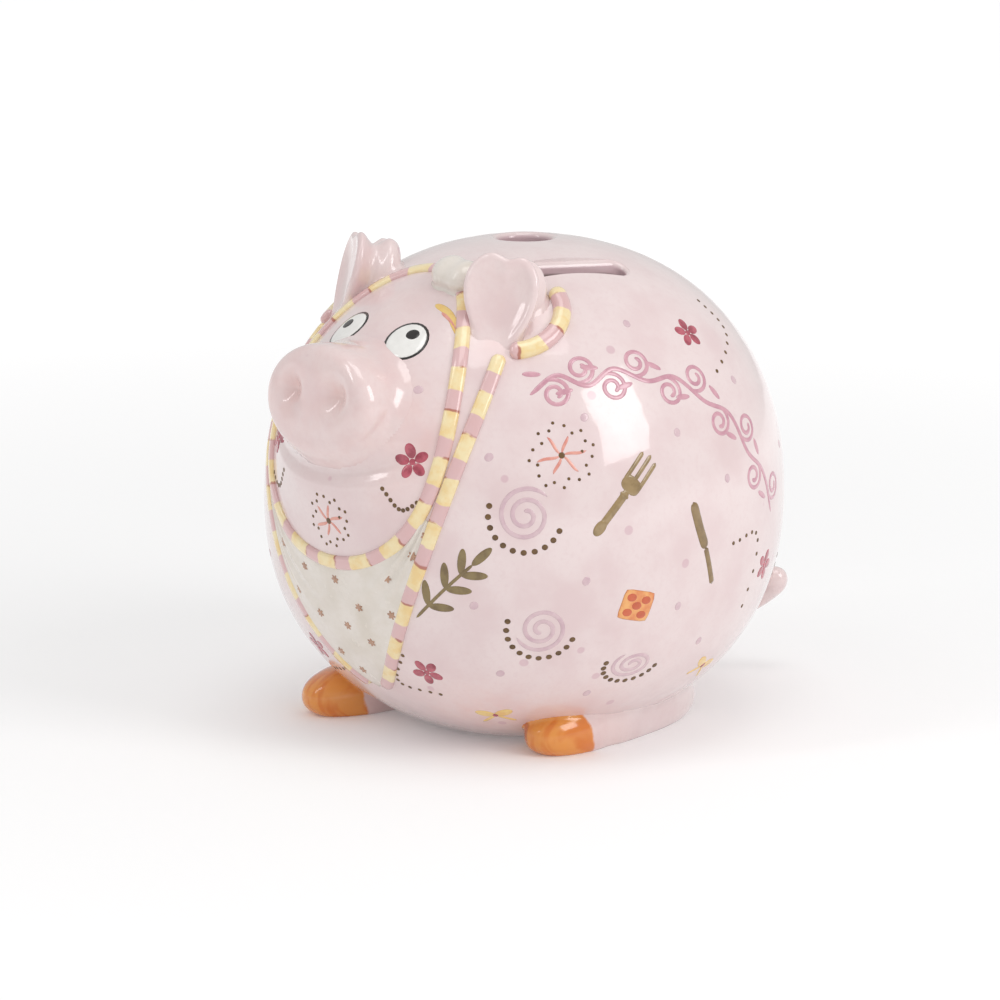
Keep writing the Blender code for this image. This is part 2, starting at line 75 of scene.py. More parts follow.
# %% Camera
VIEW_TURN, VIEW_RISE = 46.0, 12.0
VIEW_DISTANCE = 1.1
VIEW_WIDTH = 0.27
AIM_LEFT, AIM_DOWN = 0.0065, 0.0027


def place_camera():
    """Stands the camera on a sphere round its aim point, at a bearing and a rise."""
    turn, rise = math.radians(VIEW_TURN), math.radians(VIEW_RISE)
    level = math.cos(rise)
    back = Vector((math.sin(turn) * level, -math.cos(turn) * level, math.sin(rise)))
    right = Vector((math.cos(turn), math.sin(turn), 0.0))
    aim = Vector(MIDDLE * MM) - right * AIM_LEFT - back.cross(right) * AIM_DOWN
    lens = bpy.data.cameras.new("portrait_lens")
    lens.sensor_width = 36.0
    lens.lens = lens.sensor_width * VIEW_DISTANCE / VIEW_WIDTH
    lens.clip_end = 30.0
    camera = bpy.data.objects.new("camera", lens)
    camera.location = aim + back * VIEW_DISTANCE
    camera.rotation_euler = back.to_track_quat("Z", "Y").to_euler()
    bpy.context.scene.collection.objects.link(camera)
    bpy.context.scene.camera = camera
    return camera


print("lens in mm:", round(place_camera().data.lens, 1))

# %% [markdown]
# ## Light
# Glaze is seen by what it reflects. A white room gives the soft even light, one tall soft box to
# the right makes the window-shaped shine on the flank, and a narrow one to the left makes the thin
# streaks on the cheek. Lights are placed by bearing and elevation too.

# %% Soft boxes and room
def soft_box(name, bearing, elevation, distance, width, height, watts):
    """A rectangular light on a sphere round the body, facing its middle."""
    turn, rise = math.radians(bearing), math.radians(elevation)
    level = math.cos(rise)
    way = Vector((math.sin(turn) * level, -math.cos(turn) * level, math.sin(rise)))
    data = bpy.data.lights.new(name, "AREA")
    data.shape = "RECTANGLE"
    data.size, data.size_y = width, height
    data.energy = watts
    light = bpy.data.objects.new(name, data)
    light.location = Vector(MIDDLE * MM) + way * distance
    light.rotation_euler = way.to_track_quat("Z", "Y").to_euler()
    bpy.context.scene.collection.objects.link(light)


soft_box("key_box", 100.0, 33.0, 1.1, 0.42, 0.62, 3.2)
soft_box("strip_box", -16.0, 42.0, 1.1, 0.10, 0.70, 1.0)
soft_box("top_box", 60.0, 80.0, 1.2, 0.6, 0.6, 2.2)

room = bpy.data.worlds.new("white_room")
room.use_nodes = True
ROOM_WHITE = (1.0, 0.997, 0.993, 1.0)
room.node_tree.nodes["Background"].inputs["Color"].default_value = ROOM_WHITE
room.node_tree.nodes["Background"].inputs["Strength"].default_value = 0.66
bpy.context.scene.world = room
bpy.context.scene.view_settings.view_transform = "Standard"

# %% [markdown]
# ## Meshes from arrays
# A surface is a function of two parameters, one down and one across. Worked out on a grid, it gives
# an array of points, and each small square of the grid becomes a face. Every piece here is closed:
# across always runs round in a ring, and down either ends in poles or runs round too. Closed
# surfaces know their inside, so Blender can turn every face outwards by itself.

# %% Surface helpers
def grid_faces(rows, columns, start, ring_down):
    """Four corners of each square of a grid whose last column joins its first."""
    index = start + np.arange(rows * columns).reshape(rows, columns)
    index = np.hstack([index, index[:, :1]])
    if ring_down:
        index = np.vstack([index, index[:1]])
    corners = [index[:-1, :-1], index[1:, :-1], index[1:, 1:], index[:-1, 1:]]
    return np.stack(corners, -1).reshape(-1, 4)


def closed_surface(name, grids, ring_down=False, values=None):
    """An object from grids of points in mm; values are per-point numbers, by attribute name."""
    faces, start = [], 0
    for grid in grids:
        faces.append(grid_faces(grid.shape[0], grid.shape[1], start, ring_down))
        start += grid.shape[0] * grid.shape[1]
    points = np.concatenate([grid.reshape(-1, 3) for grid in grids]) * MM
    mesh = bpy.data.meshes.new(name)
    mesh.from_pydata(points.tolist(), [], np.concatenate(faces).tolist())
    for key, number in (values or {}).items():
        layer = mesh.attributes.new(key, "FLOAT", "POINT")
        layer.data.foreach_set("value", np.asarray(number, np.float32).reshape(-1))
    bm = bmesh.new()
    bm.from_mesh(mesh)
    bmesh.ops.remove_doubles(bm, verts=bm.verts, dist=1e-7)
    bmesh.ops.recalc_face_normals(bm, faces=bm.faces)
    bm.to_mesh(mesh)
    bm.free()
    mesh.shade_smooth()
    made = bpy.data.objects.new(name, mesh)
    bpy.context.scene.collection.objects.link(made)
    return made


def triangles(piece):
    piece.data.calc_loop_triangles()
    return len(piece.data.loop_triangles)


def settle(piece, body, slot_name, material, *nodes):
    """Gives a finished piece its glaze, the body it rides on and the CAD nodes it stands for."""
    piece.data.materials.clear()
    piece.data.materials.append(material)
    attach(piece, body)
    if nodes:
        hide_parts(*nodes)
    print(piece.name, "triangles:", triangles(piece))
    return piece


def smooth_path(points, count):
    """Catmull-Rom curve: it goes through each point, along the line between its neighbours."""
    points = np.asarray(points, float)
    ends = 2.0 * points[0] - points[1], 2.0 * points[-1] - points[-2]
    padded = np.vstack([ends[0], points, ends[1]])
    t = np.linspace(0.0, len(points) - 1.000001, count)
    k = t.astype(int)
    f = (t - k)[:, None]
    a, b, c, d = (padded[k + i] for i in range(4))
    bend = (2.0 * a - 5.0 * b + 4.0 * c - d) * f ** 2 + (3.0 * b - a - 3.0 * c + d) * f ** 3
    return 0.5 * (2.0 * b + (c - a) * f + bend)


# %% [markdown]
# ## The skin of the body
# The skin is a distance for every direction from the middle: the superellipsoid, plus a bell-shaped
# swelling for the muzzle, less two shallow dips at the temples. Pieces are laid on the skin by
# giving a direction and a height above it. A crease under the muzzle makes the pig's mouth.

# %% Directions and skin
MOUTH_DEPTH, MOUTH_WIDTH, MOUTH_FADE = 2.3, 2.2, 21.0
SMILE_MIDDLE, SMILE_RISE, SMILE_REACH = 12.5, 5.0, 22.0
LIP_SHARE, LIP_OFF, LIP_WIDTH = 0.45, 2.2, 1.4


def direction(bearing, elevation):
    """Unit vectors: cos e sin b, -cos e cos b, sin e."""
    bearing, elevation = np.radians(bearing), np.radians(elevation)
    level = np.cos(elevation)
    parts = level * np.sin(bearing), -level * np.cos(bearing), np.sin(elevation)
    return np.stack(np.broadcast_arrays(*parts), -1)


def unit(vectors):
    return vectors / np.linalg.norm(vectors, axis=-1, keepdims=True)


def bell(way, bearing, elevation, spread):
    """exp of minus the squared angle off a centre, in spreads."""
    cosine = np.clip(way @ direction(bearing, elevation), -1.0, 1.0)
    return np.exp(-((np.degrees(np.arccos(cosine)) / spread) ** 2))


def mouth_crease(way):
    """A groove along a smile: low in the middle, and fading out at both cheeks."""
    bearing = np.degrees(np.arctan2(way[..., 0], -way[..., 1]))
    elevation = np.degrees(np.arcsin(np.clip(way[..., 2], -1.0, 1.0)))
    smile = SMILE_MIDDLE + SMILE_RISE * (bearing / SMILE_REACH) ** 2
    across = (elevation - smile) / MOUTH_WIDTH
    groove = np.exp(-across ** 2) - LIP_SHARE * np.exp(-((across - LIP_OFF) / LIP_WIDTH) ** 2)
    return MOUTH_DEPTH * groove * np.exp(-((bearing / MOUTH_FADE) ** 4))


def reach(way, shrink=0.0, base=BASE, swell=MUZZLE_LIFT):
    """Distance from the middle: the sum of |part / half size| to a power is one on the skin."""
    n = SQUARENESS
    half_height = np.where(way[..., 2] > 0.0, CROWN - shrink, base)
    total = np.abs(way[..., 0] / (HALF_WIDTH - shrink)) ** n
    total = total + np.abs(way[..., 1] / (HALF_LENGTH - shrink)) ** n
    total = total + np.abs(way[..., 2] / half_height) ** n
    distance = total ** (-1.0 / n) + swell * bell(way, 0.0, MUZZLE_ELEVATION, MUZZLE_SPREAD)
    for side in (-1.0, 1.0):
        dip = bell(way, side * TEMPLE_BEARING, TEMPLE_ELEVATION, TEMPLE_SPREAD)
        distance = distance - TEMPLE_DIP * dip
    return distance


def skin(way, lift=0.0):
    """Points at a height above the skin, in mm."""
    lift = np.asarray(lift, float)
    return MIDDLE + way * (reach(way) - mouth_crease(way) + lift)[..., None]


def height_above_skin(points):
    offset = points - MIDDLE
    distance = np.linalg.norm(offset, axis=-1)
    way = offset / distance[..., None]
    return distance - reach(way) + mouth_crease(way)


# %% [markdown]
# ## Glaze
# Real glaze is a coloured layer under a clear glassy one. The shader has the same two layers: a base
# with its own roughness and a clear coat over it. The colour wanders between a pale and a deeper
# tone, as brushed underglaze does, and a faint bump makes the reflections swim a little.

# %% Glaze helpers
def add_node(tree, kind, **settings):
    node = tree.nodes.new(kind)
    for key, value in settings.items():
        setattr(node, key, value)
    return node


def new_material(name):
    """A material with its node tree and its Principled shader."""
    material = bpy.data.materials.new(name)
    material.use_nodes = True
    return material, material.node_tree, material.node_tree.nodes["Principled BSDF"]


def at_object(tree, node, socket="Vector"):
    """Feeds Object coordinates to a node, so that its pattern stays put on the mesh."""
    place = add_node(tree, "ShaderNodeTexCoord")
    tree.links.new(place.outputs["Object"], node.inputs[socket])
    return node


def noise(tree, size_mm, detail=3.0):
    """Cloudy values with blobs of about a size, read in Object coordinates."""
    cloud = at_object(tree, add_node(tree, "ShaderNodeTexNoise"))
    cloud.inputs["Scale"].default_value = 1.0 / (size_mm * MM)
    cloud.inputs["Detail"].default_value = detail
    return cloud.outputs["Fac"]


def bump(tree, shader, height, strength, distance, *sockets):
    """A bump whose normal goes to the named sockets of the shader."""
    node = add_node(tree, "ShaderNodeBump")
    node.inputs["Strength"].default_value = strength
    node.inputs["Distance"].default_value = distance
    tree.links.new(height, node.inputs["Height"])
    for socket in sockets:
        tree.links.new(node.outputs["Normal"], shader.inputs[socket])


def reshape(tree, value, low, high, new_low=0.0, new_high=1.0):
    """Value from low to high becomes new_low to new_high, clamped and eased."""
    node = add_node(tree, "ShaderNodeMapRange", interpolation_type="SMOOTHSTEP")
    limits = ("From Min", low), ("From Max", high), ("To Min", new_low), ("To Max", new_high)
    for socket, number in limits:
        node.inputs[socket].default_value = number
    tree.links.new(value, node.inputs["Value"])
    return node.outputs["Result"]


def attribute(tree, name):
    node = add_node(tree, "ShaderNodeAttribute", attribute_name=name)
    return node.outputs["Fac"]


def combine(tree, how, first, second):
    """A Math node; second may be a socket or a number."""
    node = add_node(tree, "ShaderNodeMath", operation=how)
    tree.links.new(first, node.inputs[0])
    if isinstance(second, (int, float)):
        node.inputs[1].default_value = second
    else:
        tree.links.new(second, node.inputs[1])
    return node.outputs["Value"]


def wash(tree, below, colour, amount):
    """A coat of colour over another one; below is a colour or a socket."""
    node = add_node(tree, "ShaderNodeMix", data_type="RGBA")
    tree.links.new(amount, node.inputs["Factor"])
    for socket, tone in ((node.inputs[6], below), (node.inputs[7], colour)):
        if isinstance(tone, tuple):
            socket.default_value = (*tone, 1.0)
        else:
            tree.links.new(tone, socket)
    return node.outputs[2]


def glaze(name, pale, deep, cloud_mm=14.0, gloss=0.13, washes=(), coat=0.8):
    """A glazed finish. Each wash is (colour, function that gives its amount in the tree)."""
    material, tree, shader = new_material(name)
    colour = wash(tree, pale, deep, reshape(tree, noise(tree, cloud_mm, 4.0), 0.38, 0.72))
    fine = reshape(tree, noise(tree, 1.3, 2.0), 0.45, 0.75, 0.0, 0.35)
    colour = wash(tree, colour, deep, fine)
    for tone, amount in washes:
        colour = wash(tree, colour, tone, amount(tree))
    tree.links.new(colour, shader.inputs["Base Color"])
    rough = reshape(tree, noise(tree, 6.0), 0.3, 0.7, gloss, gloss + 0.10)
    tree.links.new(rough, shader.inputs["Roughness"])
    shader.inputs["IOR"].default_value = 1.5
    shader.inputs["Coat Weight"].default_value = coat
    shader.inputs["Coat Roughness"].default_value = 0.04
    bump(tree, shader, noise(tree, 9.0, 2.0), 0.5, 0.25 * MM, "Normal", "Coat Normal")
    return material


# %% [markdown]
# ## The body shell
# The real body is cast hollow in a plaster mould and then pierced. Its two round holes sit on the
# upright axis, so the whole shell, inside and out, is one profile carried round that axis: up the
# outside, over the rounded lip of the crown hole, round the cavity and out through the stopper hole.

# %% Body profile
LIP_RADIUS = 1.7
BODY_COLUMNS = 256


def height_of_skin(x, y):
    """Height of the upper skin over a point: the distance is read again until it settles."""
    z = np.sqrt(np.maximum(CROWN ** 2 - x ** 2 - y ** 2, 1.0))
    for _ in range(8):
        way = unit(np.stack([x, y, z], -1))
        z = np.sqrt(np.maximum(reach(way) ** 2 - x ** 2 - y ** 2, 1.0))
    return z


def ring(radius, height, turn):
    """A level circle of points round the axis."""
    radius, height = np.broadcast_arrays(radius, height * np.ones_like(turn))
    parts = radius * np.sin(turn), -radius * np.cos(turn), height
    return MIDDLE + np.stack(np.broadcast_arrays(*parts), -1)


def body_grid():
    """Rows of the profile, each a ring of points over every turn round the axis."""
    turn = np.linspace(0.0, 2.0 * np.pi, BODY_COLUMNS, endpoint=False)
    floor = -MIDDLE[2]
    edge = math.degrees(math.acos((CROWN_HOLE_RADIUS + LIP_RADIUS) / CROWN)) + 0.2
    rows = [ring(STOPPER_RECESS_RADIUS, floor, turn), ring(STOPPER_RECESS_RADIUS + 0.4, floor, turn)]
    outside = skin(direction(np.degrees(turn)[None, :], np.linspace(-76.5, edge, 150)[:, None]))
    outside[..., 2] = np.maximum(outside[..., 2], 0.0)
    rows += list(outside)
    for lean in np.radians(np.linspace(84.0, 0.0, 9)):
        radius = CROWN_HOLE_RADIUS + LIP_RADIUS * (1.0 - math.cos(lean))
        top = height_of_skin(radius * np.sin(turn), -radius * np.cos(turn))
        rows.append(ring(radius, top - LIP_RADIUS * (1.0 - math.sin(lean)), turn))
    low_edge = -math.degrees(math.acos(STOPPER_HOLE_RADIUS / (MIDDLE[2] - FLOOR_WALL)))
    high_edge = math.degrees(math.acos(CROWN_HOLE_RADIUS / (CROWN - WALL)))
    inside = direction(np.degrees(turn)[None, :], np.linspace(high_edge, low_edge, 60)[:, None])
    rows += list(MIDDLE + inside * reach(inside, WALL, MIDDLE[2] - FLOOR_WALL)[..., None])
    rows.append(ring(STOPPER_HOLE_RADIUS, floor + STOPPER_RECESS_DEPTH, turn))
    rows.append(ring(STOPPER_RECESS_RADIUS, floor + STOPPER_RECESS_DEPTH, turn))
    return np.stack(rows)


# %% [markdown]
# The coin slot is cut with a Boolean, as the potter cuts it with a knife. The cutter is a stadium
# shape that flares out near the skin in a quarter circle, so the cut leaves a rounded lip.

# %% Coin slot cutter
SLOT_LIP = 1.5


def stadium(offset, share):
    """A long loop with half-round ends, grown outwards by an offset; share runs round it."""
    half = (SLOT_LENGTH - SLOT_WIDTH) / 2.0
    radius = SLOT_WIDTH / 2.0 + offset
    angle = 2.0 * np.pi * share
    return np.stack([radius * np.cos(angle), half * np.sign(np.sin(angle)) + radius * np.sin(angle)], -1)


def slot_cutter():
    """The stadium at each depth, turned so that its back end lies farther out."""
    share, turn = (np.arange(96) + 0.5) / 96.0, math.radians(SLOT_TURN)
    steps = [(0.0, -22.0), (0.0, -SLOT_LIP)]
    for lean in np.radians(np.linspace(8.0, 74.0, 10)):
        steps.append((SLOT_LIP * (1.0 - math.cos(lean)), -SLOT_LIP * (1.0 - math.sin(lean))))
    steps.append((steps[-1][0], 6.0))
    rows = []
    for offset, rise in steps:
        loop = stadium(offset, share)
        x = loop[:, 0] * math.cos(turn) + loop[:, 1] * math.sin(turn) + SLOT_OUT
        y = loop[:, 1] * math.cos(turn) - loop[:, 0] * math.sin(turn) + SLOT_BACK
        rows.append(MIDDLE + np.stack([x, y, height_of_skin(x, y) + rise], -1))
    caps = [np.broadcast_to(row.mean(0), row.shape) for row in (rows[0], rows[-1])]
    return closed_surface("slot_cutter", [np.stack([caps[0], *rows, caps[1]])])


def cut_with(piece, cutter):
    """Applies an exact Boolean difference and removes the cutter."""
    knife = piece.modifiers.new("cut", "BOOLEAN")
    knife.operation, knife.solver, knife.object = "DIFFERENCE", "EXACT", cutter
    graph = bpy.context.evaluated_depsgraph_get()
    mesh = bpy.data.meshes.new_from_object(piece.evaluated_get(graph))
    piece.modifiers.clear()
    piece.data = mesh
    bpy.data.objects.remove(cutter)
    mesh.shade_smooth()


# %% [markdown]
# Two values painted into the mesh steer the glaze. One is the depth below the skin, so that the
# walls of the holes take the lilac they were brushed with, and deeper in, the bare clay of the holes,
# the cavity and the flat base takes a dark colour, which is painted shade. The other is the blush:
# sponged pink on the face and head, and deeper pink low on the belly, in the nostrils and in the ear
# hollows, which is painted shade.

# %% Body shell
# Pink patches as bearing, elevation, spread and amount: sponged blush on the cheeks, by the mouth, at the
# ear roots and on the forehead, and the strongest ones low on the belly beside the feet, which are painted
# shade under the body.
BLUSHES_AND_BELLY_SHADE = ((14.0, 29.0, 7.0, 0.35), (24.0, 22.0, 8.0, 0.35), (40.0, 47.0, 7.0, 0.45),
           (-40.0, 47.0, 7.0, 0.45), (0.0, 50.0, 9.0, 0.25), (33.0, -47.0, 11.0, 0.75),
           (-33.0, -47.0, 11.0, 0.75), (60.0, -47.0, 12.0, 0.4), (20.0, 12.0, 9.0, 0.3))


def blush_and_shade_on(points):
    way = unit(points - MIDDLE)
    return np.clip(sum(amount * bell(way, b, e, spread) for b, e, spread, amount in BLUSHES_AND_BELLY_SHADE), 0, 1)


def mesh_points(mesh):
    points = np.empty(len(mesh.vertices) * 3)
    mesh.vertices.foreach_get("co", points)
    return points.reshape(-1, 3) / MM


def paint_value(mesh, name, values):
    layer = mesh.attributes.new(name, "FLOAT", "POINT")
    layer.data.foreach_set("value", np.asarray(values, np.float32))


body = closed_surface("glazed_body", [body_grid()], ring_down=True)
cut_with(body, slot_cutter())
body_points = mesh_points(body.data)
paint_value(body.data, "depth", -height_above_skin(body_points))
# These values hold sponged pink and painted shade low on the belly.
paint_value(body.data, "blush_and_shade", blush_and_shade_on(body_points))
body.data.set_sharp_from_angle(angle=math.radians(50.0))

PINK_PALE, PINK_DEEP = (0.800, 0.670, 0.662), (0.745, 0.585, 0.585)
# Below, the dark clay colour is painted shade in the holes, the cavity and under the flat base.
# The blush pink is sponged colour, and also painted shade where the blush values mark the belly, the
# nostrils and the ear hollows.
BLUSH, LILAC, SHADED_BISQUE = (0.800, 0.430, 0.370), (0.560, 0.290, 0.370), (0.22, 0.17, 0.15)


def freckles(tree):
    """Small round spots, far apart: the nearest-point distance of a loose scatter."""
    cells = at_object(tree, add_node(tree, "ShaderNodeTexVoronoi"))
    cells.inputs["Scale"].default_value = 1.0 / (17.0 * MM)
    return reshape(tree, cells.outputs["Distance"], 0.085, 0.06, 0.0, 0.42)


# Pink laid by the blush values: sponged blush, and painted shade where they mark the belly, the nostrils
# and the ear hollows.
def blush_and_shade_wash(tree):
    softened = combine(tree, "MULTIPLY", attribute(tree, "blush_and_shade"), noise(tree, 5.0))
    return combine(tree, "MULTIPLY", softened, 0.9)


PINK_WASHES = ((BLUSH, blush_and_shade_wash), (LILAC, freckles))
BODY_WASHES = PINK_WASHES + (
    (LILAC, lambda tree: reshape(tree, attribute(tree, "depth"), 0.5, 1.3, 0.0, 0.40)),
    # Dark clay deep in the holes, in the cavity and on the flat base: painted shade.
    (SHADED_BISQUE, lambda tree: reshape(tree, attribute(tree, "depth"), 2.6, 3.8)),
)
body_glaze = glaze("pink_body_glaze", PINK_PALE, PINK_DEEP, 16.0, washes=BODY_WASHES)
pink_glaze = glaze("pink_glaze", PINK_PALE, PINK_DEEP, 12.0, washes=PINK_WASHES)
settle(body, "bank", "pink_glaze", body_glaze, "body_shell")

# %% [markdown]
# ## Luting
# The snout, ears, feet and tail are made apart and stuck on with slip, and the potter smooths the
# joint with a wet brush. That fillet is made by sliding points sideways: a point close to the skin
# keeps its height above it and moves outwards by a quarter circle's worth, so the piece runs out
# flat on the body.

# %% Luted joint
def luted(points, centre, fillet):
    """Slides points near the skin away from a centre, along the skin, by a quarter circle."""
    height = height_above_skin(points)
    near = np.clip(1.0 - height / fillet, 0.0, 1.0)
    slide = fillet * (1.0 - np.sqrt(1.0 - near ** 2 * 0.999))
    way = unit(points - MIDDLE)
    spoke = points - centre
    spoke = spoke - way * np.sum(spoke * way, -1, keepdims=True)
    length = np.maximum(np.linalg.norm(spoke, axis=-1, keepdims=True), 1e-6)
    moved = unit(points + spoke / length * slide[..., None] - MIDDLE)
    return skin(moved, height)


def ball_ways(rows, columns):
    """Unit vectors on a grid from one pole, which is +Z, to the other."""
    down = np.linspace(0.0, np.pi, rows)[:, None]
    across = np.linspace(0.0, 2.0 * np.pi, columns, endpoint=False)[None, :]
    parts = np.sin(down) * np.cos(across), np.sin(down) * np.sin(across), np.cos(down)
    return np.stack(np.broadcast_arrays(*parts), -1)


# %% [markdown]
# ## The snout
# The snout is a short thick disc with softly rounded edges: a superellipsoid of power six in its
# depth, which is close to a cylinder. Two bell-shaped dents are the nostrils.

# %% Snout
SNOUT_WIDE, SNOUT_TALL, SNOUT_DEPTH, SNOUT_POWER = 20.0, 14.8, 22.0, 6.0
SNOUT_FRONT, SNOUT_HEIGHT, SNOUT_TILT = 76.4, 34.4, 6.0
NOSTRIL_SPACING, NOSTRIL_RADIUS, NOSTRIL_DEPTH, NOSTRIL_RISE = 17.0, 3.3, 3.0, 2.0


def snout_grid():
    """The rounded disc, dented, tilted a little upwards and luted on."""
    way = ball_ways(150, 128)
    level = np.hypot(way[..., 0], way[..., 1])
    total = level ** SNOUT_POWER + np.abs(way[..., 2]) ** SNOUT_POWER
    point = way * total[..., None] ** (-1.0 / SNOUT_POWER)
    across, upward = point[..., 0] * SNOUT_WIDE, point[..., 1] * SNOUT_TALL
    forward = (point[..., 2] - 1.0) * SNOUT_DEPTH / 2.0
    for side in (-1.0, 1.0):
        off = np.hypot(across - side * NOSTRIL_SPACING / 2.0, (upward - NOSTRIL_RISE) * 0.85)
        dent = NOSTRIL_DEPTH * np.exp(-((off / NOSTRIL_RADIUS) ** 2))
        forward = forward - np.where(point[..., 2] > 0.0, dent, 0.0)
    tilt = math.radians(SNOUT_TILT)
    out = forward * math.cos(tilt) - upward * math.sin(tilt)
    rise = forward * math.sin(tilt) + upward * math.cos(tilt)
    front = MIDDLE + np.array((0.0, -SNOUT_FRONT, SNOUT_HEIGHT))
    points = front + np.stack([across, -out, rise], -1)
    return luted(points, front + np.array((0.0, SNOUT_DEPTH * 0.7, 0.0)), 3.0), across, upward


snout_points, snout_across, snout_up = snout_grid()
# Deeper pink in the nostril dents is painted shade; the lighter pink over the whole snout is its own
# colour.
nostril_painted_shade = sum(
    np.exp(-(np.hypot(snout_across - s * NOSTRIL_SPACING / 2.0, snout_up - NOSTRIL_RISE) / 3.6) ** 2)
    for s in (-1.0, 1.0)
)
snout = closed_surface("snout_disc", [snout_points], values={"blush_and_shade": 0.30 + 0.45 * nostril_painted_shade})
settle(snout, "bank", "pink_glaze", pink_glaze, "snout")

# %% [markdown]
# ## The ears
# Each ear is a thick leaf pinched into a shallow cup. Its outline is a heart that points down, and
# one profile, from the back over the rolled rim into the hollow, is scaled to that outline at every
# angle round it.

# %% Ears
EAR_BEARING, EAR_ELEVATION, EAR_STAND_OFF, EAR_FACE_TILT = 38.5, 52.5, 2.6, 15.0
EAR_HALF_WIDTH, EAR_HALF_DEPTH, EAR_HALF_HEIGHT, EAR_TAPER = 9.6, 8.4, 13.6, 0.30
EAR_FACE_BEARING = 32.0
NOTCH_DEPTH, NOTCH_TURN, NOTCH_SPREAD = 0.16, 97.0, 15.0
EAR_PROFILE = ((0.0, -1.15), (0.55, -1.12), (0.88, -0.98), (1.0, -0.62), (0.80, -0.20), (0.99, 0.26),
               (0.90, 0.42), (0.70, 0.36), (0.50, 0.30), (0.25, 0.27), (0.0, 0.26))


def ear_frame(side):
    """Across the ear, the way its hollow faces, up the ear, and its middle."""
    way = direction(side * EAR_BEARING, EAR_ELEVATION)
    level = direction(side * EAR_FACE_BEARING, 0.0)
    tilt = math.radians(EAR_FACE_TILT)
    upright = np.array((0.0, 0.0, 1.0))
    face = level * math.cos(tilt) + upright * math.sin(tilt)
    rise = upright * math.cos(tilt) - level * math.sin(tilt)
    return np.cross(face, rise), face, rise, skin(way, EAR_STAND_OFF)


def ear_grid(side):
    """Outline (width cos t (1 + taper sin t), height sin t less a notch) times the profile."""
    across, face, rise, middle = ear_frame(side)
    profile = smooth_path(EAR_PROFILE, 72)
    turn = np.linspace(0.0, 2.0 * np.pi, 96, endpoint=False)
    notch = NOTCH_DEPTH * np.exp(-((np.degrees(turn) - NOTCH_TURN) / NOTCH_SPREAD) ** 2)
    wide = EAR_HALF_WIDTH * np.cos(turn) * (1.0 + EAR_TAPER * np.sin(turn))
    tall = EAR_HALF_HEIGHT * (np.sin(turn) - notch)
    spread = np.clip(profile[:, :1], 0.0, None)
    parts = spread * wide * side, spread * tall, EAR_HALF_DEPTH * profile[:, 1:] * np.ones_like(turn)
    points = middle + parts[0][..., None] * across + parts[1][..., None] * rise
    points = points + parts[2][..., None] * face
    # Deeper pink towards the middle of the hollow is painted shade; the even 0.10 is the ear's own blush.
    hollow_shade = np.clip(profile[:, 1:] * np.ones_like(turn), 0.0, 1.0) * (1.0 - spread)
    return luted(points, middle, 1.6), 0.10 + 0.35 * hollow_shade


for side_name, side in SIDES:
    ear_points, ear_blush_and_hollow_shade = ear_grid(side)
    # The ear's blush values carry painted shade in its hollow.
    ear = closed_surface("ear_leaf_" + side_name, [ear_points], values={"blush_and_shade": ear_blush_and_hollow_shade})
    settle(ear, "bank", "pink_glaze", pink_glaze, "ear_" + side_name)

# %% [markdown]
# ## The feet
# Each foot is a long loaf that lies flat on the table and runs in under the body. Its toe is glazed
# orange up to a brushed edge, with a darker stroke for the cleft. How far a point is from the toe
# is stored in the mesh, and the glaze turns that into the brushed edge.

# %% Feet
FOOT_HALF_LENGTH, FOOT_HALF_WIDTH, FOOT_HEIGHT = 33.5, 10.4, 14.0
FOOT_OUT, FOOT_BACK, FOOT_STAGGER, FOOT_SPLAY = 32.0, -6.2, 7.8, 7.0
FOOT_POWER, FOOT_WIDENING, FOOT_SOLE_SHARE = 2.4, 0.06, 0.55
TOE_LENGTH, TOE_EDGE, CLEFT_OFF = 14.0, 1.2, 3.4
WAIST, WAIST_PLACE, WAIST_SPREAD = 0.055, 0.36, 0.10


def foot_grid(side):
    """A superellipsoid loaf, cut flat at the sole, with the toe forwards and a little outwards."""
    splay = math.radians(FOOT_SPLAY)
    ahead = np.array((side * math.sin(splay), -math.cos(splay), 0.0))
    outward = np.array((side * math.cos(splay), math.sin(splay), 0.0))
    middle = np.array((side * FOOT_OUT, MIDDLE[1] + FOOT_BACK + side * FOOT_STAGGER, 0.0))
    way = ball_ways(110, 110)
    way = np.stack([way[..., 0], way[..., 2], way[..., 1]], -1)
    point = way * (np.abs(way) ** FOOT_POWER).sum(-1, keepdims=True) ** (-1.0 / FOOT_POWER)
    toe_waist = 1.0 - WAIST * np.exp(-(((point[..., 1] - WAIST_PLACE) / WAIST_SPREAD) ** 2))
    width = FOOT_HALF_WIDTH * (1.0 + FOOT_WIDENING * point[..., 1]) * toe_waist
    height = (point[..., 2] * toe_waist + FOOT_SOLE_SHARE) * FOOT_HEIGHT / (1.0 + FOOT_SOLE_SHARE)
    points = middle + ahead * (FOOT_HALF_LENGTH * point[..., 1:2])
    points = points + outward * (width * point[..., 0])[..., None]
    points[..., 2] = height
    points = luted(points, middle + np.array((0.0, 0.0, 4.0)), 1.2)
    points[..., 2] = np.maximum(points[..., 2], 0.0)
    from_toe = FOOT_HALF_LENGTH * (1.0 - point[..., 1]) + 2.0 * point[..., 2]
    return points, from_toe, width * point[..., 0]


def toe_wash(tree):
    wavy = combine(tree, "MULTIPLY", noise(tree, 3.0), 3.0)
    distance = combine(tree, "ADD", attribute(tree, "from_toe"), wavy)
    return reshape(tree, distance, TOE_LENGTH + TOE_EDGE, TOE_LENGTH)


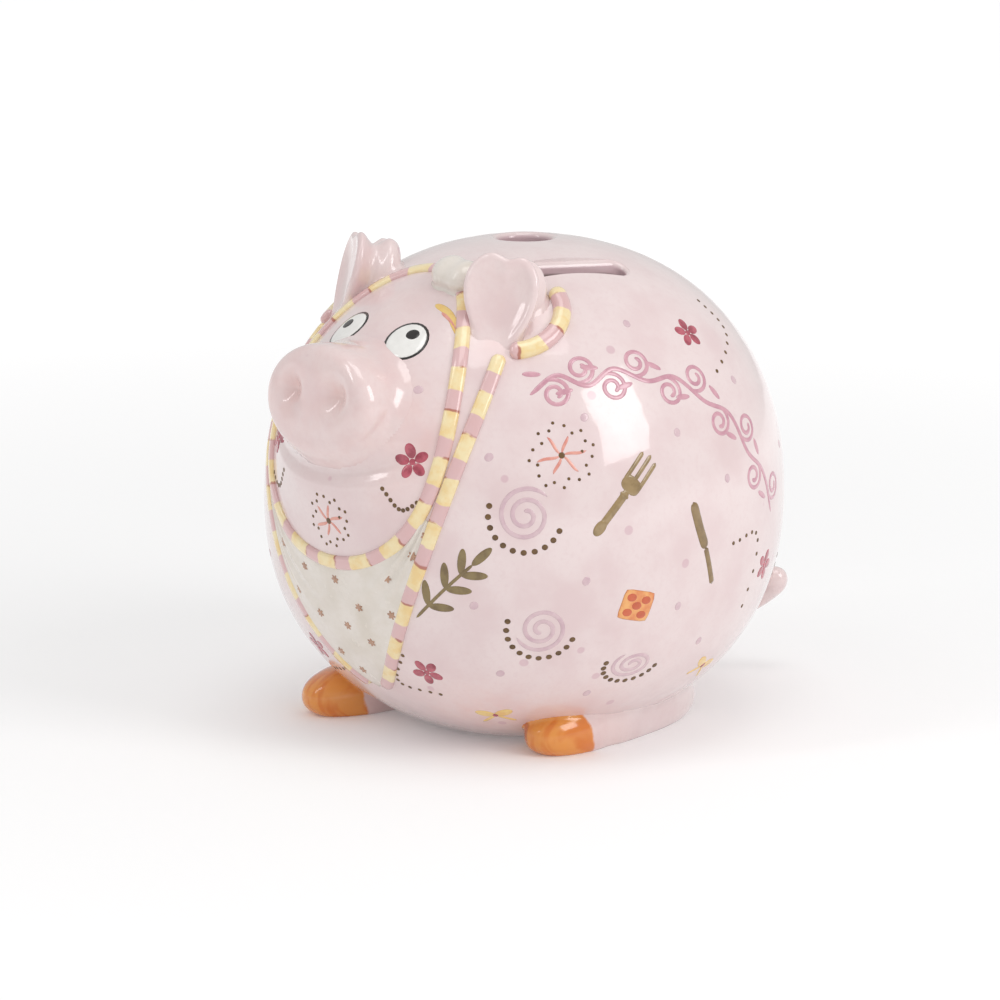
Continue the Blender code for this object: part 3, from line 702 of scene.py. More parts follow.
def toe_streaks(tree):
    """Brush strokes: noise stretched along the foot, kept inside the orange."""
    stretch = at_object(tree, add_node(tree, "ShaderNodeMapping"))
    stretch.inputs["Scale"].default_value = (900.0, 160.0, 260.0)
    streak = add_node(tree, "ShaderNodeTexNoise")
    streak.inputs["Scale"].default_value = 0.5
    tree.links.new(stretch.outputs["Vector"], streak.inputs["Vector"])
    amount = reshape(tree, streak.outputs["Fac"], 0.42, 0.66, 0.0, 0.8)
    return combine(tree, "MULTIPLY", amount, toe_wash(tree))


def cleft_wash(tree):
    off = combine(tree, "ABSOLUTE", attribute(tree, "from_cleft"), 0.0)
    line = reshape(tree, off, 1.3, 0.3, 0.0, 0.75)
    return combine(tree, "MULTIPLY", line, toe_wash(tree))


ORANGE, ORANGE_DEEP, RUST = (0.800, 0.300, 0.045), (0.700, 0.170, 0.010), (0.52, 0.10, 0.012)
hoof_glaze = glaze("hoof_glaze", PINK_PALE, PINK_DEEP, 12.0, washes=(
    (BLUSH, lambda tree: reshape(tree, attribute(tree, "from_toe"), 34.0, 18.0, 0.0, 0.22)),
    (ORANGE, toe_wash), (ORANGE_DEEP, toe_streaks), (RUST, cleft_wash)))
for side_name, side in SIDES:
    foot_points, from_toe, from_middle = foot_grid(side)
    values = {"from_toe": from_toe, "from_cleft": from_middle + CLEFT_OFF * side}
    foot = closed_surface("foot_loaf_" + side_name, [foot_points], values=values)
    settle(foot, "bank", "hoof_glaze", hoof_glaze, "foot_" + side_name)

# %% [markdown]
# ## The tail
# A coil of clay, rolled thinner towards its tip and curled to one side. Rings are set square to the
# path, and their radius shrinks to nothing in a half circle at the tip.

# %% Tail
TAIL_RADIUS, TAIL_TIP_RADIUS = 5.2, 4.0
TAIL_ROOT, TAIL_BACK, TAIL_SIDE = (HALF_LENGTH - 15.0, -43.0), 28.2, 20.0
TAIL_DIP, TAIL_LIFT, TAIL_CURL = 3.0, 12.0, 150.0
TAIL_BACK_TURN, TAIL_SIDE_POWER, TAIL_TIP_SHARE = 0.62, 1.6, 0.12


def tube_grid(path, radius, columns):
    """Rings square to a path: radius times (cos, sin) of two directions across it."""
    along = unit(np.gradient(path, axis=0))
    sideways = unit(np.cross(along, np.array((0.0, 0.0, 1.0))))
    upward = np.cross(sideways, along)
    angle = np.linspace(0.0, 2.0 * np.pi, columns, endpoint=False)
    spokes = sideways[:, None] * np.cos(angle)[:, None] + upward[:, None] * np.sin(angle)[:, None]
    return path[:, None] + spokes * np.asarray(radius)[:, None, None]


def tail_grid():
    """Runs back from the rump, then swings left and up; its radius ends in a half circle."""
    share = np.sin(np.linspace(0.0, np.pi / 2.0, 80))
    curl = np.radians(TAIL_CURL * share)
    x = TAIL_SIDE * share ** TAIL_SIDE_POWER
    y = TAIL_ROOT[0] + TAIL_BACK * np.sin(curl * TAIL_BACK_TURN)
    z = TAIL_ROOT[1] - TAIL_DIP * np.sin(curl) + TAIL_LIFT * share ** 2
    narrow = TAIL_RADIUS + (TAIL_TIP_RADIUS - TAIL_RADIUS) * share
    past = np.clip((share - 1.0 + TAIL_TIP_SHARE) / TAIL_TIP_SHARE, 0.0, 1.0)
    round_end = np.sqrt(np.clip(1.0 - past ** 2, 0.0, 1.0))
    radius = narrow * round_end
    radius[0] = 0.0
    points = tube_grid(MIDDLE + np.stack([x, y, z], -1), radius, 48)
    return luted(points, MIDDLE + np.array((0.0, 62.0, -44.0)), 3.0)


tail = closed_surface("curled_tail", [tail_grid()])
paint_value(tail.data, "blush_and_shade", np.full(len(tail.data.vertices), 0.15))
settle(tail, "bank", "pink_glaze", pink_glaze, "tail")

# %% [markdown]
# ## The napkin
# The napkin is modelled in low relief, as a thin sheet on the chest with a rolled hem. Hem and sheet
# lie on the skin along curves given as directions: an egg-shaped neckline round the face, and two
# hems from the point on the belly up to the ears.

# %% Napkin curves
NECK_ELEVATION, NECK_HALF_HEIGHT, NECK_HALF_WIDTH, NECK_NARROWING = 28.5, 35.7, 25.5, 0.3
POINT_ELEVATION, HEM_TOP_ELEVATION = -41.0, 38.0
HEM_BEARING, HEM_SPAN, HEM_CURVE = 40.0, 85.0, 0.62
BIB_TOP_ELEVATION, BIB_TOP_TURN = 4.0, 50.0
KNOT_TURN = 155.0


def neckline(turn):
    """The neck opening: turn 0 is under the chin and 180 on the crown."""
    high = -np.cos(np.radians(turn))
    wide = np.sin(np.radians(turn)) * (1.0 - NECK_NARROWING * high)
    elevation = NECK_ELEVATION + NECK_HALF_HEIGHT * high
    return direction(NECK_HALF_WIDTH * wide / np.cos(np.radians(elevation)), elevation)


def side_hem(side, elevation):
    """The hem from the napkin's point up to an ear, bending outwards as it climbs."""
    share = (elevation - POINT_ELEVATION) / HEM_SPAN
    return direction(side * HEM_BEARING * np.maximum(share, 0.0) ** HEM_CURVE, elevation)


def strip_on_skin(path, half_width, high, low, columns=12, power=0.6, base=0.0):
    """A closed strip along directions: its section is a flattened ring, half sunk in the skin."""
    along = unit(np.gradient(path, axis=0))
    sideways = np.cross(path, along)
    angle = np.linspace(0.0, 2.0 * np.pi, columns, endpoint=False)
    across = np.sign(np.cos(angle)) * np.abs(np.cos(angle)) ** power
    rise = np.sin(angle)
    half_width = np.broadcast_to(half_width, len(path))[:, None, None]
    ways = unit(path[:, None] + sideways[:, None] * across[:, None] * half_width / HALF_WIDTH)
    lift = np.where(rise > 0.0, high * rise, low * rise)
    full = np.clip(half_width[..., 0] / np.max(half_width), 0.0, 1.0)
    return skin(ways, lift * full ** 0.5 + base)


def tapered(count, ends=0.12):
    """1 along the middle and a half circle down to 0 over each end."""
    share = np.linspace(0.0, 1.0, count)
    past = np.clip(1.0 - np.minimum(share, 1.0 - share) / ends, 0.0, 1.0)
    return np.sqrt(1.0 - past ** 2)


def length_along(path):
    steps = np.linalg.norm(np.diff(path, axis=0), axis=-1) * HALF_WIDTH
    return np.concatenate([[0.0], np.cumsum(steps)])


# %% [markdown]
# The hem is painted in turns of yellow and lilac, with a thin dark line where two strokes meet. The
# distance along the hem is stored in the mesh, and its fraction of one repeat picks the colour.

# %% Hem glaze
BAND_REPEAT = 11.4
HEM_LILAC, JOINT = (0.68, 0.42, 0.47), (0.42, 0.13, 0.09)


def band_phase(tree):
    """Distance along the hem, wobbled by the brush, as a fraction of one repeat."""
    wobble = combine(tree, "MULTIPLY", noise(tree, 5.0, 2.0), 2.4)
    shifted = combine(tree, "ADD", attribute(tree, "along"), wobble)
    return combine(tree, "FRACT", combine(tree, "DIVIDE", shifted, BAND_REPEAT), 0.0)


def lilac_bands(tree):
    phase = band_phase(tree)
    rising = reshape(tree, phase, 0.52, 0.56)
    falling = reshape(tree, phase, 0.995, 0.96)
    return combine(tree, "MULTIPLY", combine(tree, "MULTIPLY", rising, falling), 0.86)


def joint_lines(tree):
    centred = combine(tree, "ABSOLUTE", combine(tree, "SUBTRACT", band_phase(tree), 0.54), 0.0)
    line = reshape(tree, centred, 0.045, 0.015)
    patchy = reshape(tree, noise(tree, 4.0), 0.45, 0.60, 0.0, 0.9)
    return combine(tree, "MULTIPLY", line, patchy)


hem_glaze = glaze("hem_glaze", (0.88, 0.74, 0.44), (0.84, 0.61, 0.27), 4.0, washes=(
    (HEM_LILAC, lilac_bands), (JOINT, joint_lines)))


def hem_piece(name, path, half_width, high, node, start=0.0):
    """A banded hem along directions, with the distance along it painted in."""
    width = half_width * tapered(len(path), 2.0 / max(length_along(path)[-1], 4.0))
    points = strip_on_skin(path, width, high, 0.7, 16)
    along = np.broadcast_to((length_along(path) + start)[:, None], points.shape[:2])
    piece = closed_surface(name, [points], values={"along": along})
    return settle(piece, "bank", "stripe_glaze", hem_glaze, *node)


# %% Hems
KNOT_GAP = 6.0
HEM_HALF_WIDTH, HEM_HEIGHT = 1.85, 1.05
neck_turns = np.linspace(KNOT_TURN - 360.0 + KNOT_GAP, KNOT_TURN - KNOT_GAP, 420)
hem_piece("neck_hem", neckline(neck_turns), HEM_HALF_WIDTH, HEM_HEIGHT, ("neck_edge",))
hem_heights = np.linspace(POINT_ELEVATION + 1.2, HEM_TOP_ELEVATION + 3.0, 240)
for side_name, side in SIDES:
    hem_piece("side_hem_" + side_name, side_hem(side, hem_heights), HEM_HALF_WIDTH, HEM_HEIGHT,
              ("side_edge_" + side_name,), 4.0)

# %% [markdown]
# The sheet of the napkin sags between its corners, so its folds are shallow swags that follow the
# neckline. They are made as ripples in its height above the skin, stronger towards the two sides
# where the cloth is pulled up to the ears.

# %% Napkin sheet
NAPKIN_THICKNESS = 1.1


def between(start, end, inset_start, inset_end, share):
    """Directions from start to end, kept clear of each by a distance on the skin."""
    apart = np.arccos(np.clip(np.sum(start * end, -1), -1.0, 1.0)) * HALF_WIDTH
    low, high = inset_start / apart, 1.0 - inset_end / apart
    mix = (low + (high - low) * share)[..., None]
    return unit(start * (1.0 - mix) + end * mix)


def napkin_sheet():
    """Down runs from the neckline to the hems, and across runs over the front and back again."""
    angle = np.linspace(0.0, 2.0 * np.pi, 220, endpoint=False)[None, :]
    down = np.linspace(0.0, 1.0, 90)[:, None]
    across = np.sign(np.cos(angle)) * np.abs(np.cos(angle)) ** 0.85 * np.ones_like(down)
    share = np.abs(across)
    start = neckline(across * BIB_TOP_TURN)
    climb = BIB_TOP_ELEVATION - POINT_ELEVATION
    end = side_hem(np.where(across < 0.0, -1.0, 1.0), POINT_ELEVATION + climb * share ** 1.15)
    way = between(start, end, 0.6, 0.6, down * np.ones_like(across))
    swag = np.sin(2.0 * np.pi * (3.4 * down ** 0.85 + 0.25 * share)) * (0.20 + 0.55 * share)
    swag = swag * np.exp(-((down - 0.35) / 0.34) ** 2)
    front = NAPKIN_THICKNESS * 0.6 + 0.55 * swag
    edge = np.clip(np.minimum(down, 1.0 - down) * 14.0, 0.0, 1.0) ** 0.5
    rise = np.sin(angle)
    lift = np.where(rise > 0.0, front * np.abs(rise) ** 0.35 * edge, -0.8 * np.abs(rise) ** 0.35 * edge)
    return skin(way, lift)


CREAM_PALE, CREAM_DEEP, CREAM_SHADE = (0.775, 0.715, 0.655), (0.70, 0.635, 0.555), (0.60, 0.53, 0.44)
cream_glaze = glaze("cream_glaze", CREAM_PALE, CREAM_DEEP, 9.0, gloss=0.18, washes=(
    (CREAM_SHADE, lambda tree: reshape(tree, noise(tree, 22.0), 0.50, 0.72, 0.0, 0.35)),))
sheet_points = napkin_sheet()
sheet = closed_surface("napkin_sheet", [sheet_points])
settle(sheet, "bank", "cream_glaze", cream_glaze, "bib_sheet")

# %% [markdown]
# The napkin is tied beside the left ear. The knot is a small pinched lump, and a striped end passes
# behind each ear, where it shows as a raised band round the ear's outer side.

# %% Knot and napkin ends
KNOT_HALF_WIDTH, KNOT_HALF_DEPTH, KNOT_HALF_HEIGHT = 7.5, 6.0, 4.5
KNOT_STANDING, KNOT_PINCH, KNOT_PINCH_SHARE = 0.40, 0.18, 0.35
END_START, END_STOP, END_OFF, END_DRAWN_IN = 52.0, 168.0, 12.4, 1.6


def knot_grid():
    """An ellipsoid pinched a little at its waist."""
    way = ball_ways(60, 96)
    centre = neckline(KNOT_TURN)
    middle = skin(centre, KNOT_HALF_HEIGHT * KNOT_STANDING)
    sideways = unit(np.cross(np.array((0.0, -1.0, 0.0)), centre))
    ahead = np.cross(centre, sideways)
    pinch = 1.0 - KNOT_PINCH * np.exp(-((way[..., 0] / KNOT_PINCH_SHARE) ** 2))
    points = middle + (KNOT_HALF_WIDTH * way[..., 0:1]) * sideways
    points = points + (KNOT_HALF_DEPTH * way[..., 1] * pinch)[..., None] * ahead
    points = points + (KNOT_HALF_HEIGHT * way[..., 2] * pinch)[..., None] * centre
    return luted(points, middle, 1.5)


knot = closed_surface("napkin_knot_lump", [knot_grid()])
settle(knot, "bank", "cream_glaze", cream_glaze, "napkin_knot")


def round_the_ear(side, off, turn):
    """Directions at an angle off the ear's own: turn 0 is towards the crown, 90 outwards."""
    bearing = side * EAR_BEARING
    way, upward = direction(bearing, EAR_ELEVATION), direction(bearing, EAR_ELEVATION + 90.0)
    outward = direction(bearing + side * 90.0, 0.0)
    turn, off = np.radians(turn)[:, None], np.radians(off)[:, None]
    return way * np.cos(off) + (upward * np.cos(turn) + outward * np.sin(turn)) * np.sin(off)


for side_name, side in SIDES:
    turns = np.linspace(END_START, END_STOP, 160)
    off = END_OFF - END_DRAWN_IN * np.linspace(0.0, 1.0, 160) ** 2
    hem_piece("napkin_end_band_" + side_name, round_the_ear(side, off, turns), 2.3, 2.0,
              ("napkin_end_" + side_name,), 2.0)

# %% [markdown]
# ## Painted motifs
# Underglaze colours stand a hair proud of the skin. So every stroke is a thin closed strip along
# directions, and every dab a thin closed lens, both half sunk in the body. They are placed in
# millimetres to the right of and above a centre on the skin, after a turn, the way a painter thinks.

# %% Brush
PAINT_HEIGHT, PAINT_SUNK = 0.11, 0.22
DAB_RINGS = ((0.0, 1.0), (0.45, 1.0), (0.75, 0.92), (0.92, 0.66), (1.0, 0.0))
paints = {}


def turned(x, y, angle):
    """(x, y) turned anticlockwise: x cos a - y sin a, x sin a + y cos a."""
    return x * math.cos(angle) - y * math.sin(angle), x * math.sin(angle) + y * math.cos(angle)


def near_place(place, right, up, turn=0.0):
    """Directions some millimetres right of and above a place on the skin, after a turn."""
    bearing, elevation = place
    angle = math.radians(turn)
    right, up = np.broadcast_arrays(np.asarray(right, float), np.asarray(up, float))
    x, y = turned(right, up, angle)
    centre = direction(bearing, elevation) * HALF_WIDTH
    sideways, upward = direction(bearing + 90.0, 0.0), direction(bearing, elevation + 90.0)
    return unit(centre + x[..., None] * sideways + y[..., None] * upward)


def stroke(paint, path, half_width, base=0.0, ends=0.25):
    """A brush stroke along directions, thinning over a share of its length at both ends."""
    width = half_width * np.maximum(tapered(len(path), ends), 0.0)
    paints.setdefault(paint, []).append(
        strip_on_skin(path, width, PAINT_HEIGHT, PAINT_SUNK, 8, 0.6, base))


def dab(paint, place, size, right=0.0, up=0.0, turn=0.0, height=PAINT_HEIGHT, power=2.0, base=0.0):
    """A lens of paint: rings |x|^p + |y|^p = r^p over the skin and back under it."""
    angle = np.linspace(0.0, 2.0 * np.pi, 24, endpoint=False)
    loop = np.stack([np.cos(angle), np.sin(angle)], -1)
    loop = loop / (np.abs(loop) ** power).sum(-1, keepdims=True) ** (1.0 / power) * np.asarray(size)
    rows = [(share, height * full) for share, full in DAB_RINGS]
    rows += [(share, -PAINT_SUNK * full) for share, full in reversed(DAB_RINGS[:-1])]
    spin = math.radians(turn)
    grid = []
    for share, lift in rows:
        x, y = turned(right + share * loop[:, 0], up + share * loop[:, 1], spin)
        grid.append(skin(near_place(place, x, y), lift + base))
    paints.setdefault(paint, []).append(np.stack(grid))


def trail(places, count):
    """Directions along a smooth curve through bearings and elevations."""
    curve = smooth_path(places, count)
    return direction(curve[:, 0], curve[:, 1])


def place_of(way):
    return math.degrees(math.atan2(way[0], -way[1])), math.degrees(math.asin(way[2]))


def dotted(paint, places, count, radius):
    for way in trail(places, count):
        dab(paint, place_of(way), (radius, radius))


# %% [markdown]
# The eyes are a white dab over a slightly larger black one, which leaves a thin black line round the
# white. The pupils look up and to one side, so each sits off the middle.

# %% Eyes
EYES = (((12.5, 41.5), (0.8, 1.9)), ((-11.0, 42.0), (-1.6, 1.2)))
for place, (pupil_right, pupil_up) in EYES:
    dab("black", place, (5.4, 5.9), height=0.14)
    dab("eye_white", place, (4.95, 5.45), height=0.30)
    dab("pupil_black", place, (1.95, 1.8), pupil_right, pupil_up, height=0.38)

# %% [markdown]
# The motifs are small functions of a place, so the same one can be painted several times and turned.
# A star is six strokes round a dot, a flower is five petals, a spiral is a stroke whose distance from
# the middle shrinks as it goes round, and a sprig is a stem with pairs of leaves.

# %% Motifs
def star(place, turn=0.0, size=6.5):
    for k in range(6):
        spoke = np.linspace(0.4, size * (1.0, 0.8, 0.9)[k % 3], 10)
        angle = turn + 60.0 * k + 9.0 * math.sin(3.0 * k)
        stroke("coral", near_place(place, spoke, 0.2 * np.sin(spoke), angle), 0.40, ends=0.45)
    dab("brown", place, (0.8, 0.8), height=0.16)
    for k in range(22):
        angle, far = math.radians(turn + 137.5 * k), size * (0.72 + 0.6 * math.sqrt((k + 0.5) / 22.0))
        dab("brown", place, (0.42, 0.42), far * math.cos(angle), far * math.sin(angle))


def spiral(place, size=7.0, turn=0.0, flat=1.0, dots=11):
    share = np.linspace(0.0, 1.0, 90)
    angle = np.radians(turn) + 2.2 * 2.0 * np.pi * share
    radius = size * (1.0 - 0.86 * share)
    curl = near_place(place, radius * np.cos(angle), flat * radius * np.sin(angle))
    stroke("pale_lilac", curl, 0.55, ends=0.06)
    for k in range(dots):
        lean = math.radians(165.0 + 17.0 * k)
        far = size + 2.2
        dab("brown", place, (0.78, 0.74), far * math.cos(lean), flat * far * math.sin(lean))


def flower(place, turn=0.0, size=2.5):
    for k in range(5):
        dab("crimson", place, (1.75, 1.25), size, 0.0, turn + 72.0 * k)
    dab("crimson", place, (0.8, 0.8))


def sprig(places, size=3.3):
    stem = trail(places, 40)
    stroke("olive", stem, 0.42, ends=0.1)
    for share, spread in ((0.22, 48.0), (0.50, 46.0), (0.78, 42.0), (1.0, 0.0)):
        k = min(int(share * 39), 38)
        step = stem[k + 1] - stem[k]
        sideways, upward = direction(place_of(stem[k])[0] + 90.0, 0.0), np.array((0.0, 0.0, 1.0))
        lean = math.degrees(math.atan2(step @ upward, step @ sideways))
        for side in ((-1.0, 1.0) if spread else (1.0,)):
            dab("olive", place_of(stem[k]), (size, 1.1), size + 0.2, 0.0, lean + side * spread)


def patch(place, turn):
    dab("orange", place, (4.7, 4.1), turn=turn, power=9.0)
    for right, up in ((-2.2, 2.0), (2.3, 1.8), (0.0, 0.0), (-2.1, -2.1), (2.2, -2.2)):
        dab("rust", place, (1.5, 1.15), right, up, turn, height=0.20)


def fork(place, turn):
    """A handle and three tines, each given by its ends, its place across and its half width."""
    for start, end, off, width in (
        (-12.0, 1.5, 0.0, 1.05), (2.5, 12.0, 2.3, 0.58), (2.5, 12.8, 0.0, 0.58), (2.5, 12.0, -2.3, 0.58),
    ):
        along = np.linspace(start, end, 20)
        stroke("gold", near_place(place, along, np.full(20, off), turn), width, ends=0.12)
    dab("gold", place, (2.2, 2.85), 3.0, 0.0, turn, power=2.8)
    dab("gold", place, (2.4, 1.45), -10.6, 0.0, turn, height=0.15)
    dab("gold", place, (0.7, 1.35), -0.2, 0.0, turn, height=0.17)


def knife(place, turn):
    along = np.linspace(-12.5, -1.0, 16)
    stroke("dark_gold", near_place(place, along, 0.0 * along, turn), 0.85, ends=0.08)
    blade = np.linspace(-1.5, 12.5, 24)
    bend = 0.35 * np.sin((blade + 1.5) / 4.4)
    stroke("dark_gold", near_place(place, blade, bend, turn), 1.45, ends=0.16)


def bow(place, turn):
    for side in (-1.0, 1.0):
        dab("yellow", place, (2.6, 1.5), 2.6, 0.0, turn + 90.0 - side * 68.0)
        tail_path = near_place(place, side * np.linspace(0.3, 4.5, 10), -np.linspace(0.3, 4.0, 10), turn)
        stroke("yellow", tail_path, 0.5, ends=0.3)
    dab("crimson", place, (0.8, 0.8), height=0.18)


# %% [markdown]
# On the flank a loose scroll fills the long curved field: a waving stem with a curl turning back from
# each bend, and a small leaf beside each curl.

# %% Scroll
SCROLL = ((47.0, 32.0), (54.0, 36.5), (62.0, 34.0), (70.0, 37.5), (79.0, 34.0), (88.0, 34.0),
          (95.5, 27.5), (103.0, 23.5), (107.0, 14.5), (113.0, 9.0), (117.0, -1.0))
CURL_RADIUS = 3.9


def scroll(places, count=10):
    """A stem with curls on alternate sides: each a circle whose radius shrinks as it turns."""
    stem = trail(places, 260)
    stroke("rose", stem, 0.62, ends=0.04)
    for k in range(count):
        i = int((k + 0.5) / count * 258)
        step = stem[i + 1] - stem[i]
        bearing = place_of(stem[i])[0]
        lean = math.degrees(math.atan2(step[2], step @ direction(bearing + 90.0, 0.0)))
        side = 1.0 if k % 2 else -1.0
        share = np.linspace(0.0, 1.0, 44)
        angle = -0.5 * np.pi + share * 3.1 * np.pi
        radius = CURL_RADIUS * (1.0 - 0.74 * share)
        x, y = radius * np.cos(angle) + 1.0, side * (radius * np.sin(angle) + CURL_RADIUS)
        stroke("rose", near_place(place_of(stem[i]), x, y, lean), 0.55, ends=0.10)
        dab("rose", place_of(stem[i]), (2.3, 0.75), -2.6, side * -2.6, lean + side * 40.0)


scroll(SCROLL)

# %% [markdown]
# Then the motifs go on, first those on the pig's left and face. Each flower comes with a curved row
# of dots beside it.

# %% Paint the body
star((54.0, 19.0), 10.0)
star((1.0, 2.0), 20.0, 5.2)
spiral((46.0, 6.5), 7.0, 40.0)
spiral((49.5, -18.5), 6.4, 200.0)
spiral((74.0, -30.5), 6.2, 120.0, 0.7)
fork((68.0, 10.0), 48.0)
knife((90.0, -3.5), 110.0)
sprig(((21.5, -17.0), (29.0, -9.5), (35.0, -4.0)))
patch((71.5, -15.0), -15.0)
for place, turn, dots in (
    ((101.5, 43.0), 10.0, ((122.0, 48.5), (121.5, 40.0), (104.5, 33.0))),
    ((21.5, 16.5), 30.0, ((15.5, 10.5), (19.5, 6.5), (24.0, 9.0))),
    ((21.0, -31.5), 50.0, ((15.5, -27.5), (10.5, -36.5), (22.5, -38.5))),
    ((116.5, -13.0), 0.0, ((100.0, -5.0), (110.0, -5.0), (109.5, -21.5))),
):
    flower(place, turn)
    dotted("brown", dots, 10, 0.55)
bow((37.0, -45.5), 10.0)
bow((105.0, -37.0), -20.0)
stroke("yellow", trail(((14.0, 52.5), (21.0, 50.0), (28.0, 43.5)), 24), 1.0)
stroke("coral", trail(((18.0, 50.4), (23.0, 48.0), (28.5, 43.0)), 24), 0.6)
dab("crimson", (-28.0, 41.0), (1.1, 2.2), turn=20.0)

# %% [markdown]
# The right side and the back carry the same motifs in another order. They are spread more loosely,
# because a painter works on the front most.

# %% Paint the right side and the back
star((-64.0, 20.0), 30.0)
star((-100.0, -18.0), 0.0)
star((165.0, 12.0), 15.0)
spiral((-58.0, 2.0), 7.0, 90.0)
spiral((-60.0, -28.0), 6.2, 10.0)
spiral((-92.0, 22.0), 7.0, 70.0)
spiral((140.0, -16.0), 6.4, 150.0)
spiral((-150.0, 24.0), 7.0, 30.0)
sprig(((-54.0, 32.0), (-60.0, 40.0), (-70.0, 43.0)))
sprig(((-74.0, -8.0), (-80.0, 3.0), (-88.0, 8.0)))
sprig(((146.0, 26.0), (152.0, 36.0), (160.0, 42.0)))
patch((-84.0, -30.0), 12.0)
patch((-132.0, -8.0), -20.0)
fork((-118.0, 6.0), 70.0)
for place, turn, dots in (
    ((-22.0, 16.0), 0.0, ((-15.0, 10.0), (-19.0, 6.0), (-24.0, 9.0))),
    ((-21.0, -32.0), 20.0, ((-15.0, -28.0), (-11.0, -36.0), (-22.0, -39.0))),
    ((-88.0, 42.0), 40.0, ((-76.0, 48.0), (-77.0, 38.0), (-84.0, 32.0))),
    ((-160.0, -14.0), 10.0, ((-172.0, -8.0), (-170.0, -18.0), (-158.0, -24.0))),
):
    flower(place, turn)
    dotted("brown", dots, 10, 0.55)
bow((-125.0, -36.0), 0.0)
bow((-110.0, 34.0), 20.0)

# %% [markdown]
# Loose lilac dots fill the gaps, and small tan stars of three crossing strokes are scattered over
# the napkin. The stars lie on the cloth, so each reads the cloth's own height under it.

# %% Dots and napkin stars
LILAC_DOTS = ((38.0, 18.5), (35.0, -13.0), (83.5, -17.0), (20.5, 31.0), (59.0, -8.0), (60.0, 27.0),
              (84.0, 22.0), (98.0, 10.0), (63.0, -38.0), (95.0, -28.0), (80.0, 48.0), (110.0, 30.0),
              (-36.0, 17.0), (-64.0, 2.0), (-80.0, -30.0), (-95.0, 4.0), (-130.0, 30.0), (170.0, -30.0),
              (128.0, 12.0), (150.0, 4.0), (-140.0, -28.0), (-34.0, -12.0), (40.0, -30.0), (-60.0, 44.0))
for place in LILAC_DOTS:
    dab("pale_lilac", place, (1.15, 1.0), turn=place[0])

sheet_ways = unit(sheet_points - MIDDLE).reshape(-1, 3)
sheet_heights = height_above_skin(sheet_points).reshape(-1)
on_top = sheet_heights > 0.25
sheet_ways, sheet_heights = sheet_ways[on_top], sheet_heights[on_top]


def cloth_height(ways):
    """Height of the napkin sheet's nearest upper point."""
    return sheet_heights[np.argmax(ways @ sheet_ways.T, axis=-1)]


NAPKIN_STARS = ((15.5, -8.5), (6.5, -16.5), (-8.0, -20.5), (15.5, -17.0), (7.5, -25.0), (-6.0, -30.0),
                (-10.0, -10.0), (-14.5, -16.0), (0.5, -11.0), (1.0, -22.0), (12.0, -28.0), (22.0, -3.0),
                (-18.0, -6.0), (-1.0, -34.5), (25.0, 1.5), (-25.0, 1.0))
for bearing, elevation in NAPKIN_STARS:
    base = float(cloth_height(direction(bearing, elevation)[None])[0])
    for k in range(3):
        along, lean = np.linspace(-1.35, 1.35, 9), 60.0 * k + 3.0 * bearing
        stroke("tan", near_place((bearing, elevation), along, np.zeros(9), lean), 0.34, base)

# %% [markdown]
# All strokes of one colour make one object with one glaze, as one pot of colour does on the real pig.

# %% Fire the paints
PAINT_TONES = {
    "black": ((0.030, 0.026, 0.024), (0.015, 0.013, 0.012)),
    "pupil_black": ((0.022, 0.019, 0.018), (0.012, 0.011, 0.010)),
    "eye_white": ((0.86, 0.85, 0.82), (0.80, 0.79, 0.76)),
    "coral": ((0.78, 0.36, 0.29), (0.68, 0.24, 0.19)),
    "brown": ((0.16, 0.085, 0.028), (0.10, 0.05, 0.015)),
    "lilac": ((0.60, 0.40, 0.46), (0.52, 0.32, 0.39)),
    "pale_lilac": ((0.68, 0.50, 0.53), (0.60, 0.41, 0.46)),
    "crimson": ((0.50, 0.09, 0.13), (0.27, 0.02, 0.045)),
    "olive": ((0.23, 0.16, 0.05), (0.15, 0.09, 0.025)),
    "orange": ((0.85, 0.42, 0.13), (0.72, 0.20, 0.06)),
    "rust": ((0.62, 0.11, 0.03), (0.50, 0.08, 0.02)),
    "gold": ((0.34, 0.23, 0.10), (0.22, 0.14, 0.05)),
    "dark_gold": ((0.27, 0.17, 0.06), (0.18, 0.105, 0.035)),
    "yellow": ((0.86, 0.62, 0.20), (0.80, 0.48, 0.12)),
    "rose": ((0.64, 0.34, 0.40), (0.54, 0.25, 0.32)),
    "tan": ((0.47, 0.26, 0.16), (0.34, 0.17, 0.10)),
}
for paint, grids in paints.items():
    pale, deep = PAINT_TONES[paint]
    piece = closed_surface("painted_" + paint, grids)
    slot_name = "cream_glaze" if paint == "tan" else "pink_glaze"
    coat = 0.1 if paint in ("black", "pupil_black", "brown") else 0.8
    colour = glaze(paint + "_underglaze", pale, deep, 3.0, gloss=0.16, coat=coat)
    settle(piece, "bank", slot_name, colour)

# %% [markdown]
# ## The stopper
# The hole in the base is closed by a turned rubber plug: a stem with a rounded end and a thin flange
# with a dimple for the finger. It is one profile carried round the upright axis. Rubber has no glassy
# coat, so its finish is rougher than the glaze and only mottled.

